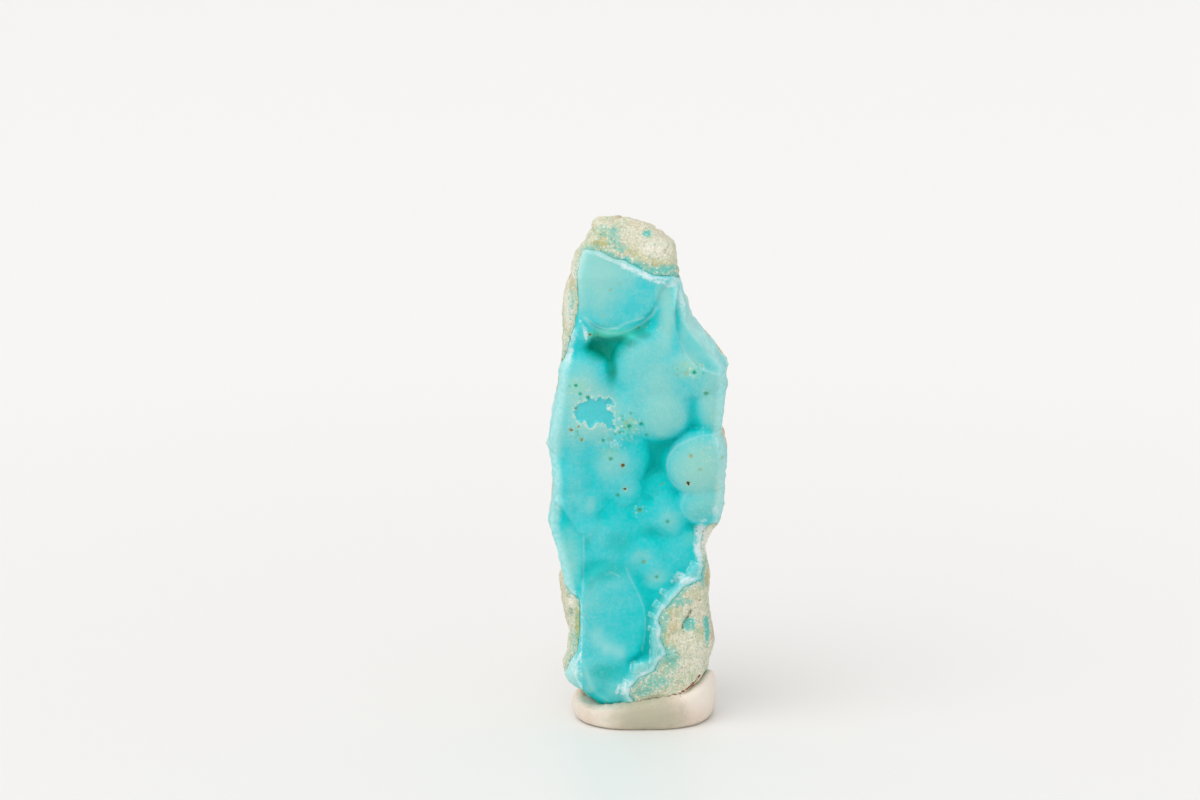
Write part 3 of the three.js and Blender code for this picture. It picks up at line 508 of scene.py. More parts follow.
def soft_union(a, b, softness):
    """The union of two fields, with a fillet about as wide as softness."""
    share = np.clip(0.5 + 0.5 * (b - a) / softness, 0, 1)
    return b + (a - b) * share - softness * share * (1 - share)


def line_distance(x, z, points):
    """Distance from places on the front to a bent line."""
    nearest = np.inf
    for (x0, z0), (x1, z1) in zip(points, points[1:]):
        along_x, along_z = x1 - x0, z1 - z0
        share = ((x - x0) * along_x + (z - z0) * along_z) / (along_x**2 + along_z**2)
        share = np.clip(share, 0, 1)
        nearest = np.minimum(nearest, np.hypot(x - x0 - share * along_x, z - z0 - share * along_z))
    return nearest


def outline_distance(x, z, outline):
    """Distance from places on the front to a closed outline, negative inside it."""
    closed = outline + outline[:1]
    inside = False
    for (x0, z0), (x1, z1) in zip(closed, closed[1:]):
        if z0 != z1:
            crosses = ((z0 > z) != (z1 > z)) & (x < x0 + (z - z0) * (x1 - x0) / (z1 - z0))
            inside = inside ^ crosses
    nearest = line_distance(x, z, closed)
    return np.where(inside, -nearest, nearest)


def section_at(z, *columns):
    """Columns of SECTIONS, read at heights between its rows."""
    return [np.interp(z, SECTIONS[:, 0], SECTIONS[:, column]) for column in columns]


def column_distance(x, y, z, front=None):
    """Distance to the upright stone whose sections are rounded rectangles, measured level."""
    left, right, sections_front, back = section_at(z, 1, 2, 3, 4)
    front = sections_front if front is None else front
    from_middle_x = x - (left + right) / 2
    from_middle_y = y - (front + back) / 2
    across = np.abs(from_middle_x) / ((right - left) / 2)
    deep = np.abs(from_middle_y) / ((back - front) / 2)
    square = np.where(from_middle_y < 0, FRONT_SQUARENESS, BACK_SQUARENESS)
    reach = np.maximum((across**square + deep**square) ** (1 / square), 1e-3)
    level = np.hypot(from_middle_x, from_middle_y) * (1 - 1 / reach)
    foot, top = SECTIONS[0, 0], SECTIONS[-1, 0]
    return np.maximum(level, np.maximum(foot - z, z - top - TOP_SPARE))


def ellipsoid_distance(x, y, z, ball):
    """Roughly the distance to an ellipsoid, measured towards its centre."""
    cx, cy, cz, rx, ry, rz = ball
    reach = np.sqrt(((x - cx) / rx) ** 2 + ((y - cy) / ry) ** 2 + ((z - cz) / rz) ** 2) + 1e-6
    return np.sqrt((x - cx) ** 2 + (y - cy) ** 2 + (z - cz) ** 2) * (1 - 1 / reach)


def plane_distance(x, y, z, plane):
    """Distance in front of a plane, given as a point and the way it faces."""
    point, normal = plane
    nx, ny, nz = Vector(normal).normalized()
    return nx * (x - point[0]) + ny * (y - point[1]) + nz * (z - point[2])


def plane_front(x, z, plane):
    """The y of a plane at places on the front."""
    point, (nx, ny, nz) = plane
    return point[1] - (nx * (x - point[0]) + nz * (z - point[2])) / ny


def growth_front(x, z, softness):
    """The y that the botryoids reach forward to at places on the front."""
    front = np.full(np.broadcast(x, z).shape, HOLLOW_FLOOR)
    for px, pz, rx, rz, depth in PITS:
        front = front + depth * np.exp(-(((x - px) / rx) ** 2) - ((z - pz) / rz) ** 2)
    for cx, cz, rx, rz, crest, fall, softer in BOTRYOIDS:
        away = np.hypot((x - cx) / rx, (z - cz) / rz)
        dome = fall * (1 - np.sqrt(np.clip(1 - away**2, 0, 1)))
        dome = np.where(away < 1, dome, fall + DOME_SKIRT * (away - 1))
        front = soft_union(front, crest + dome, softness * softer)
    return front


def contact_depth(x, z):
    """The y of the crust's back."""
    ragged = CONTACT["ragged"] * rough(front_points(x, z), 1.9, 3, 61).reshape(np.broadcast(x, z).shape)
    wave = np.sin(0.31 * z + 0.22 * x) + 0.8 * np.sin(0.67 * z - 0.5 * x)
    nearness = 1 - np.clip(-outline_distance(x, z, CRUST) / CONTACT["within"], 0, 1)
    return CONTACT["depth"] - CONTACT["forward"] * nearness**2 + CONTACT["wave"] * wave + ragged


def unleaned(y, z):
    """The height on the front of the crust's edge line that passes through y, z on a side."""
    behind = np.maximum(0, y - CONTACT["side"])
    wave = 0.07 * behind * np.sin(1.7 * y + z)
    return (z - wave - behind * CONTACT["slant"] * CONTACT["middle"]) / (1 - behind * CONTACT["slant"])


# ---- Patches, lines and pores ----

def spots(x, z, places):
    """Soft round patches, 0 to 1: each place is x, z, radius in x, radius in z, strength."""
    clear = np.ones(np.shape(x))
    for cx, cz, rx, rz, strength in places:
        clear *= 1 - strength * np.exp(-((((x - cx) / rx) ** 2 + ((z - cz) / rz) ** 2) ** 1.5))
    return 1 - clear


def lines(x, z, strokes):
    """Soft lines, 0 to 1: each stroke is a width, a strength and its points."""
    clear = np.ones(np.shape(x))
    for width, strength, points in strokes:
        clear *= 1 - strength * fade(line_distance(x, z, points), width)
    return 1 - clear


def pores(x, z):
    """Distance to the nearest pore's rim, negative inside it, and that pore's tone."""
    nearest = np.full(np.shape(x), FAR)
    tone = np.zeros(np.shape(x))
    for px, pz, radius, pore_tone in PORES:
        away = np.hypot(x - px, z - pz) - radius
        tone = np.where(away < nearest, pore_tone, tone)
        nearest = np.minimum(nearest, away)
    return nearest, tone


def plates(x, z):
    """Distance to the edge of the nearest small square plate, negative on one."""
    places = front_points(x, z)
    x, z = x + 0.16 * noise(places, 0.7, 62), z + 0.16 * noise(places, 0.7, 63)
    nearest = np.full(np.shape(x), FAR)
    for px, pz, half_width, half_height, turn in PLATES:
        cos, sin = math.cos(math.radians(turn)), math.sin(math.radians(turn))
        along, up = cos * (x - px) + sin * (z - pz), cos * (z - pz) - sin * (x - px)
        nearest = np.minimum(nearest, np.maximum(np.abs(along) - half_width, np.abs(up) - half_height))
    return nearest


def beside(x, z):
    """1 close to the stone's left and right sides, 0 away from them."""
    left, right = section_at(z, 1, 2)
    return soft_step(np.maximum(left + SIDE_STRIP - x, x - right + SIDE_STRIP), 0, 1.2)


def rim_strength(x, z):
    """How strongly the white rim shows at places along the crust's edge."""
    above = soft_step(z, *RIM["above"]) * soft_step(x, *RIM["above_right_of"])
    above = above * (0.55 + 0.45 * soft_step(x, *RIM["full_right_of"]))
    below = soft_step(z, *RIM["below"]) * soft_step(x, *RIM["below_right_of"])
    return RIM["least"] + (1 - RIM["least"]) * np.maximum(above, RIM["share_below"] * below)


def rim_strip(outside, begins, weakens, by):
    """A strip along the crust's edge, 0 to 1, from the distance outside that edge."""
    return soft_step(outside, *begins) * (1 - by * soft_step(outside, *weakens))


def blurred(heights, known, width):
    """Heights on a grid smoothed over a width in cells, from the known ones alone."""
    turns_x, turns_z = (np.fft.fftfreq(n) for n in heights.shape)
    keep = np.exp(-2 * (math.pi * width) ** 2 * (turns_x[:, None] ** 2 + turns_z[None, :] ** 2))

    def smooth(values):
        return np.real(np.fft.ifft2(np.fft.fft2(values) * keep))

    return smooth(np.where(known, heights, 0)) / np.maximum(smooth(known.astype(float)), 1e-3)


class Lattice:
    """A block of evenly spaced points, and the fields of the specimen on them."""

    def __init__(self, low, high, spacing):
        self.low = np.array(low, float)
        self.spacing = spacing
        counts = np.ceil((np.array(high) - self.low) / spacing).astype(int) + 1
        x, y, z = (self.low[k] + spacing * np.arange(counts[k]) for k in range(3))
        self.x = x[:, None, None]
        self.y = y[None, :, None]
        self.z = z[None, None, :]

    def on_front(self, function, *values):
        """A function of x and z, worked out once for the whole depth of the block."""
        return function(self.x[:, 0, :], self.z[0, :, :], *values)[:, None, :]

    def stone(self, softness, window_depth):
        """The whole stone, crust and rock together, with smooth surfaces."""
        x, y, z = self.x, self.y, self.z
        hollow = self.on_front(outline_distance, HOLLOW)
        front = self.on_front(growth_front, softness)
        for outline, face, step in FACETS:
            inside = soft_step(-self.on_front(outline_distance, outline), *step)
            front = front + (self.on_front(plane_front, face) - front) * inside
        front = front + window_depth * soft_step(-self.on_front(outline_distance, WINDOW), *WINDOW_STEP)
        slopes = np.gradient(front[:, 0, :], self.spacing)
        steepest = LINING["steepest"]
        steepness = np.sqrt(1 + sum(np.clip(slope, -steepest, steepest) ** 2 for slope in slopes))
        ahead = (front - y) / steepness[:, None, :]
        uncut = column_distance(x, y, z)
        for lump in ROCK_LUMPS:
            uncut = soft_union(uncut, ellipsoid_distance(x, y, z, lump), FILLETS["lumps"])
        opened = -soft_union(-uncut, np.maximum(hollow, y - HOLLOW_BACK), FILLETS["hollow"])
        sides = column_distance(x, y, z, front=SIDE_ROUNDING)
        within = hollow - LINING["past"] - np.maximum(0, y - LINING["widens_from"])
        lining = np.maximum(np.maximum(ahead, sides), np.maximum(within, y - LINING["back"]))
        crown = soft_union(*(ellipsoid_distance(x, y, z, lobe) for lobe in CROWN_LOBES), FILLETS["crown"])
        crown = np.maximum(crown, plane_distance(x, y, z, CROWN_FACE))
        field = soft_union(soft_union(opened, lining, FILLETS["growth"]), crown, FILLETS["growth"])
        chip = np.maximum(self.on_front(outline_distance, CHIP), -plane_distance(x, y, z, CHIP_FACE))
        field = np.maximum(field, -chip)
        for plane in BREAKS:
            field = np.maximum(field, plane_distance(x, y, z, plane))
        return field

    def crust_edge(self):
        """Distance to the line where the crust ends on the stone's surface, negative on the crust."""
        edge = self.on_front(outline_distance, CRUST)[:, 0, :]
        places = front_points(self.x[:, 0, :], self.z[0])
        edge = edge + 0.32 * rough(places, 1.7, 3, 41).reshape(edge.shape)
        last = edge.shape[1] - 1
        level = np.empty((self.x.size, self.y.size, self.z.size))
        for row, y in enumerate(self.y[0, :, 0]):
            place = (unleaned(y, self.z[0, 0]) - self.low[2]) / self.spacing
            lower = np.clip(np.floor(place).astype(int), 0, last - 1)
            share = np.clip(place - lower, 0, 1)
            level[:, row] = edge[:, lower] * (1 - share) + edge[:, lower + 1] * share
        return level

    def crust_region(self, edge):
        """Where the stone is crust: inside its edge and in front of its back."""
        return np.maximum(edge, self.y - self.on_front(contact_depth))

    def pat(self, stone, unevenness):
        """The putty: a pat with a bulging side, pushed up on the right, with the stone pressed in."""
        x, y, z = self.x - PUTTY["centre"][0], self.y - PUTTY["centre"][1], self.z
        power = PUTTY["squareness"]
        angle = np.arctan2(y, x)
        thumb = 1 + 0.02 * np.sin(3 * angle + 0.7) + 0.012 * np.sin(5 * angle)
        across = np.abs(x / PUTTY["half_width"]) ** power + np.abs(y / PUTTY["half_depth"]) ** power
        reach = np.maximum(across ** (1 / power) / thumb, 1e-3)
        heap = PUTTY["heap"] * fade(x - PUTTY["heap_at"], PUTTY["heap_width"]) * soft_step(y, 5, -3)
        bank = PUTTY["bank"] * fade(x - PUTTY["bank_at"], PUTTY["bank_width"])
        level = z / (1 + PUTTY["lean"] * x + heap + bank)
        heights, bulge = zip(*PUTTY_SIDE)
        side = np.hypot(x, y) * (1 - np.interp(level, heights, bulge) / reach)
        lip = PUTTY["lip"] * fade(np.maximum(stone, 0), 0.9)
        top = level - PUTTY["top"] - lip
        field = -soft_union(-side, -top, 0.8)
        near = np.abs(field) < 1
        field[near] -= unevenness * rough(self.points(near), 3.6, 3, 31)
        return np.maximum(np.maximum(field, -z), -stone - PUTTY["overlap"])

    def points(self, chosen):
        """The chosen points of the block, as an (n, 3) array."""
        return self.low + self.spacing * np.argwhere(chosen)

    def relief(self, field):
        """How far each place on the front stands out from those around it."""
        inside = field < 0
        known = inside.any(axis=1)
        front = np.minimum(self.y[0, np.argmax(inside, axis=1), 0], SIDES_FROM)
        wider, wide, fine = (blurred(front, known, width / self.spacing) for width in (5.5, 2.6, 0.35))
        return 0.75 * (wide - fine) + 0.45 * (wider - fine)

    def sample(self, values, vertices):
        """Values between the block's points."""
        place = (vertices - self.low) / self.spacing
        cell = np.clip(np.floor(place).astype(int), 0, np.array(values.shape) - 2)
        share = np.clip(place - cell, 0, 1)
        return sum(weight * values[tuple(corner)] for corner, weight in corners(cell, share))

    def sample_front(self, values, x, z):
        """Values between the places of a grid on the front."""
        vertices = np.stack((x, np.full(len(x), self.low[1]), z), axis=1)
        return self.sample(np.repeat(values[:, None, :], 2, axis=1), vertices)

    def surface(self, field):
        """Vertices, an (n, 3) array, and quads, an (m, 4) array, of the surface where field is 0."""
        inside = field < 0
        halves = (np.s_[:-1], np.s_[1:])
        count = sum(inside[a, b, c].astype(np.int8) for a in halves for b in halves for c in halves)
        active = (count > 0) & (count < 8)
        index = np.full(active.shape, -1, np.int64)
        index[active] = np.arange(active.sum())
        cell = np.argwhere(active)
        total = np.zeros(cell.shape)
        crossings = np.zeros(len(cell))
        for axis in range(3):
            for side in range(4):
                start = np.insert([side & 1, side >> 1], axis, 0)
                low = cell + start
                high = low + np.eye(3, dtype=int)[axis]
                at_low, at_high = field[tuple(low.T)], field[tuple(high.T)]
                crosses = (at_low < 0) != (at_high < 0)
                place = np.tile(start.astype(float), (len(cell), 1))
                place[:, axis] = at_low / np.where(crosses, at_low - at_high, 1)
                total[crosses] += place[crosses]
                crossings += crosses
        vertices = self.low + self.spacing * (cell + total / crossings[:, None])
        quads = np.concatenate([self.quads_across(inside, index, axis) for axis in range(3)])
        return vertices, quads

    @staticmethod
    def quads_across(inside, index, axis):
        """The quads that cross the lattice's edges along one axis, facing out."""
        first, second = (axis + 1) % 3, (axis + 2) % 3
        low = [np.s_[1:-1]] * 3
        low[axis] = np.s_[:-1]
        high = list(low)
        high[axis] = np.s_[1:]
        starts, ends = inside[tuple(low)], inside[tuple(high)]
        quads = []
        for crossing, turn in ((starts & ~ends, 1), (ends & ~starts, -1)):
            corner = np.argwhere(crossing)
            corner[:, [first, second]] += 1
            ring = []
            for back_first, back_second in ((0, 0), (1, 0), (1, 1), (0, 1))[::turn]:
                cell = corner.copy()
                cell[:, first] -= back_first
                cell[:, second] -= back_second
                ring.append(index[tuple(cell.T)])
            quads.append(np.stack(ring, axis=1))
        return np.concatenate(quads)


# ---- Shader graphs ----

class Graph:
    """Adds nodes to a shader tree. Inputs are numbers, colours or other nodes' outputs."""

    def __init__(self, tree):
        self.tree = tree

    def add(self, kind, inputs=(), output=0, **settings):
        node = self.tree.nodes.new(kind)
        for name, value in settings.items():
            setattr(node, name, value)
        for key, value in dict(inputs).items():
            if isinstance(value, bpy.types.NodeSocket):
                self.tree.links.new(value, node.inputs[key])
            else:
                node.inputs[key].default_value = (*value, 1) if isinstance(value, Color) else value
        return node.outputs[output]

    def maths(self, operation, *values):
        return self.add("ShaderNodeMath", enumerate(values), operation=operation)

    def times(self, first, *others):
        for other in others:
            first = self.maths("MULTIPLY", first, other)
        return first

    def between(self, value, low, high, to_low=0, to_high=1):
        """A smooth rise from to_low to to_high as value goes from low to high."""
        inputs = {"Value": value, "From Min": low, "From Max": high, "To Min": to_low, "To Max": to_high}
        return self.add("ShaderNodeMapRange", inputs, interpolation_type="SMOOTHSTEP")

    def around(self, middle, reach, value):
        """A smooth rise from 0 to 1 as value goes past middle, from reach before it to reach after."""
        return self.between(value, self.maths("SUBTRACT", middle, reach), self.maths("ADD", middle, reach))

    def mix(self, share, first, second):
        return self.add("ShaderNodeMix", {0: share, 6: first, 7: second}, output=2, data_type="RGBA")

    def coat(self, colour, *coats):
        """A colour under coats of others, each given as its share, from 0 to 1, and its colour."""
        for share, tint in coats:
            colour = self.mix(share, colour, tint)
        return colour

    def mask(self, name):
        """A mask stored at the piece's vertices."""
        return self.add("ShaderNodeAttribute", output="Fac", attribute_name=name)

    def ramp(self, value, stops):
        result = self.add("ShaderNodeValToRGB", {0: value})
        elements = result.node.color_ramp.elements
        for _ in range(len(stops) - 2):
            elements.new(0.5)
        for element, (place, colour) in zip(elements, stops):
            element.position = place
            element.color = (*colour, 1)
        return result

    def place(self, size):
        """Places on the piece, in units of size millimetres."""
        place = self.add("ShaderNodeTexCoord", output="Object")
        scale = self.maths("DIVIDE", 1 / MM, size)
        return self.add("ShaderNodeVectorMath", {0: place, "Scale": scale}, operation="SCALE")

    def clouds(self, size, detail, roughness, seed=None):
        """Cloudy noise with clouds about size millimetres across."""
        inputs = {"Vector": self.place(size), "Scale": 1.0, "Detail": detail, "Roughness": roughness}
        if seed is None:
            return self.add("ShaderNodeTexNoise", inputs)
        return self.add("ShaderNodeTexNoise", {**inputs, "W": seed}, noise_dimensions="4D")


WHITE = (1, 1, 1, 1)


def effect(name, inputs, output, default):
    """A shader node group with named sockets: its graph, its inputs, and a call that ends it."""
    tree = bpy.data.node_groups.new(name, "ShaderNodeTree")
    for in_out, sockets in (("INPUT", inputs), ("OUTPUT", {output: default})):
        for socket_name, value in sockets.items():
            kind = "NodeSocketColor" if value is WHITE else "NodeSocketFloat"
            socket = tree.interface.new_socket(socket_name, in_out=in_out, socket_type=kind)
            socket.default_value = value
    entry = tree.nodes.new("NodeGroupInput")
    result = tree.nodes.new("NodeGroupOutput")

    def end(value):
        tree.links.new(value, result.inputs[output])
        return tree

    return Graph(tree), entry.outputs, end


def mottle_effect():
    """Soft cloudy variation."""
    graph, given, end = effect(
        "Mottle", {"Size": 1.0, "Detail": 3.0, "Contrast": 1.0, "Seed": 0.0}, "Mask", 0.5)
    clouds = graph.clouds(given["Size"], given["Detail"], 0.55, seed=given["Seed"])
    return end(graph.around(0.5, graph.maths("DIVIDE", 0.28, given["Contrast"]), clouds))


def stain_effect():
    """A colour stained where a mask is high, with a broken edge."""
    graph, given, end = effect(
        "Stain", {"Colour": WHITE, "Stain": WHITE, "Mask": 0.0, "Size": 1.0, "Break Up": 0.5, "Edge": 0.2},
        "Colour", WHITE)
    clouds = graph.clouds(given["Size"], 4.0, 0.65)
    push = graph.times(graph.maths("SUBTRACT", clouds, 0.5), given["Break Up"], 4)
    level = graph.maths("ADD", given["Mask"], push)
    share = graph.times(graph.around(0.5, given["Edge"], level), graph.between(given["Mask"], 0.02, 0.3))
    return end(graph.mix(share, given["Colour"], given["Stain"]))


def grain_effect():
    """The height of a fine crystalline grain."""
    graph, given, end = effect("Grain", {"Size": 0.2, "Softness": 0.5}, "Height", 0.5)
    place = graph.place(given["Size"])
    crystals = graph.add("ShaderNodeTexVoronoi", {"Vector": place, "Scale": 1.0}, output="Distance")
    clouds = graph.add("ShaderNodeTexNoise", {"Vector": place, "Scale": 0.6, "Detail": 3.0})
    return end(graph.add("ShaderNodeMix", {0: given["Softness"], 2: crystals, 3: clouds}, data_type="FLOAT"))


def speck_effect():
    """Scattered small specks, as a mask."""
    graph, given, end = effect("Specks", {"Spacing": 1.0, "Radius": 0.2, "Share": 0.3}, "Mask", 0.0)
    cells = graph.add("ShaderNodeTexVoronoi", {"Vector": graph.place(given["Spacing"]), "Scale": 1.0},
                      output="Distance")
    chance = graph.add("ShaderNodeSeparateColor", {0: cells.node.outputs["Color"]})
    dot = graph.between(graph.maths("DIVIDE", cells, given["Radius"]), 1.2, 0.7)
    return end(graph.times(dot, graph.maths("LESS_THAN", chance, given["Share"])))


def vein_effect():
    """Thin branching lines, as a mask."""
    graph, given, end = effect("Veins", {"Size": 1.0, "Width": 0.05}, "Mask", 0.0)
    clouds = graph.clouds(given["Size"], 3.0, 0.6)
    away = graph.maths("ABSOLUTE", graph.maths("SUBTRACT", clouds, 0.5))
    return end(graph.between(away, given["Width"], 0))


EFFECTS = {"Veins": vein_effect, "Mottle": mottle_effect, "Stain": stain_effect, "Grain": grain_effect,
           "Specks": speck_effect}


class Finish(Graph):
    """A material whose Principled BSDF takes a colour, a roughness and a bump."""

    def __init__(self, name, **shader_values):
        self.material = bpy.data.materials.new(name)
        self.material.use_nodes = True
        super().__init__(self.material.node_tree)
        self.shader = self.tree.nodes["Principled BSDF"]
        for key, value in shader_values.items():
            self.shader.inputs[key.replace("_", " ")].default_value = value

    def effect(self, name, **inputs):
        """A shared effect, made the first time that it is asked for."""
        tree = bpy.data.node_groups.get(name) or EFFECTS[name]()
        inputs = {key.replace("_", " "): value for key, value in inputs.items()}
        return self.add("ShaderNodeGroup", inputs, node_tree=tree)

    def mottle(self, size, detail=3, contrast=1, seed=0, low=None, high=None):
        """Soft cloudy variation from 0 to 1, or else from low to high."""
        mask = self.effect("Mottle", Size=size, Detail=detail, Contrast=contrast, Seed=seed)
        return mask if low is None else self.between(mask, 0, 1, low, high)

    def stain(self, colour, stain, mask, size, break_up, edge):
        return self.effect("Stain", Colour=colour, Stain=stain, Mask=self.mask(mask), Size=size,
                           Break_Up=break_up, Edge=edge)

    def specks(self, spacing, radius, share):
        return self.effect("Specks", Spacing=spacing, Radius=radius, Share=share)

    def veins(self, size, width):
        return self.effect("Veins", Size=size, Width=width)

    def grain(self, size, softness=0.5):
        return self.effect("Grain", Size=size, Softness=softness)

    def finish(self, colour, roughness, height, depth):
        bump = self.add("ShaderNodeBump", {"Height": height, "Distance": depth})
        for key, value in (("Base Color", colour), ("Roughness", roughness), ("Normal", bump)):
            self.tree.links.new(value, self.shader.inputs[key])
        return self.material


def hemimorphite_finish(look):
    """Pale blue crust: deeper in the valleys, paler and chalky on the crests, partly its own colour and
    partly painted shade and light, frosted along its edge.
    """
    finish = Finish("Hemimorphite", Subsurface_Weight=look.glow, Subsurface_Scale=look.glow_depth,
                    Subsurface_Radius=(0.55, 1.0, 1.0), Specular_IOR_Level=0.1)
    mask, between, times = finish.mask, finish.between, finish.times
    clouds = finish.mottle(3.2, 4)
    fine = finish.mottle(0.55, 5, 1.2)
    # Painted shade and light, on top of the crust's own colour: the tone deepens where the surface sinks
    # below its surroundings and pales where it stands out or forward.
    tone = finish.maths("MULTIPLY_ADD", mask("relief"), 0.3, 0.42)
    for cloud, reach in ((clouds, 0.1), (fine, 0.07)):
        tone = finish.maths("ADD", tone, between(cloud, 0, 1, -reach, reach))
    colour = finish.ramp(tone, [(0, look.deep), (0.3, look.valley), (0.6, look.body), (1, look.crest)])

    # Colour given to places on the front, painted shade and painted light among it.
    drift = between(clouds, 0, 1, 0.75, 1.15)
    # Painted shade deepens the valleys and the hollow under the crown; painted light brightens the lip below
    # the crown's edge.
    colour = finish.coat(
        colour, (times(mask("deep"), drift, 0.85), look.deep), (times(mask("lip"), drift), look.lip),
        (times(mask("shade"), drift), look.shade))
    # The bloom is chalky skin and also painted light on faces turned from the light and on highlights.
    colour = finish.stain(colour, look.bloom_and_light, "bloom_and_light", 0.9, 0.13, 0.5)
    colour = finish.stain(colour, look.green, "green", 0.7, 0.25, 0.5)
    # A painted glow pales the crust along the stone's left and right sides.
    colour = finish.coat(
        colour, (times(mask("silhouette_glow"), between(fine, 0, 1, 0.6, 1)), look.edge),
        (times(finish.specks(0.45, 0.4, 0.35), between(tone, 0.35, 0.9, 0, 0.12)), look.band))
    for spacing, radius, chance, tint in ((0.5, 0.42, 0.5, look.chalk), (0.6, 0.33, 0.32, look.speckle),
                                          (0.75, 0.3, 0.3, look.green_pit)):
        specks = times(finish.specks(spacing, radius, chance), mask("speckled"), 0.75)
        colour = finish.mix(specks, colour, tint)

    # The broken sides, with growth bands that follow the crust's back.
    depth = finish.maths("MULTIPLY_ADD", finish.mottle(5, 4, 1, 3), 1.6, mask("thickness"))
    bands = between(finish.maths("SINE", times(depth, 5.5)), -1, 1)
    bands = times(bands, finish.mottle(1.8, 4, 1.3, 4), 0.8)
    side = finish.ramp(finish.maths("MULTIPLY_ADD", mask("thickness"), 0.11, 0.05), [
        (0, look.chalk), (0.25, look.band), (0.6, look.side), (1, look.body)])
    side = finish.coat(
        side, (bands, look.band), (between(fine, 0.2, 0.9, 0, 0.3), look.body),
        (between(mask("fracture"), 0.2, 0.7, 0, 0.6), look.chalk),
        (between(mask("fracture"), 0.1, -0.3, 0, 0.45), look.body))
    colour = finish.coat(colour, (mask("side"), side), (times(mask("arcs"), drift), look.band))

    # The window in the pale skin, the small square plates, and the white rim.
    edge = finish.maths("ADD", mask("window"), finish.mottle(0.45, low=-0.22, high=0.22))
    skin = times(between(edge, 0.5, 0.05), between(fine, 0.2, 0.8, 0.2, 0.8))
    broken = finish.mottle(0.5, 3, 1, 7, 0.1, 1)
    border = between(finish.maths("ABSOLUTE", mask("plate")), 0.16, 0.03, 0, 0.8)
    colour = finish.coat(
        colour, (skin, look.chalk), (between(edge, 0.02, -0.02), look.window),
        (times(between(mask("plate"), 0.04, -0.1, 0, 0.35), broken), look.band),
        (times(border, broken), look.band),
        (times(mask("rim"), finish.mottle(1.1, 4, 1.3, 0, 0.3, 1), finish.mottle(0.3, 2, 1, 0, 0.6, 1)),
         look.frost))
    colour = finish.stain(colour, look.frost, "frost", 0.45, 0.35, 0.4)

    # Pores, and the sugary sparkle of the finest crystals.
    pore = finish.maths("ADD", mask("pore"), finish.mottle(0.25, low=-0.1, high=0.1))
    pit = finish.ramp(mask("pore_tone"), [
        (0, look.pit), (0.3, look.ochre), (0.5, look.halo), (1, look.green_pit)])
    halo = finish.mix(mask("pore_tone"), look.halo, look.green_pit)
    sugar = times(between(finish.grain(0.2), 0.1, 0.6, 1, 0), between(tone, 0.3, 0.9, 0, 0.16))
    colour = finish.coat(colour, (between(pore, 0.25, 0, 0, 0.45), halo), (between(pore, 0.02, -0.08), pit),
                         (sugar, look.frost))
    roughness = between(fine, 0, 1, look.roughness - 0.06, look.roughness + 0.06)
    height = finish.maths("ADD", finish.grain(0.16), between(fine, 0, 1, 0, 0.5))
    return finish.finish(colour, roughness, height, look.grain)


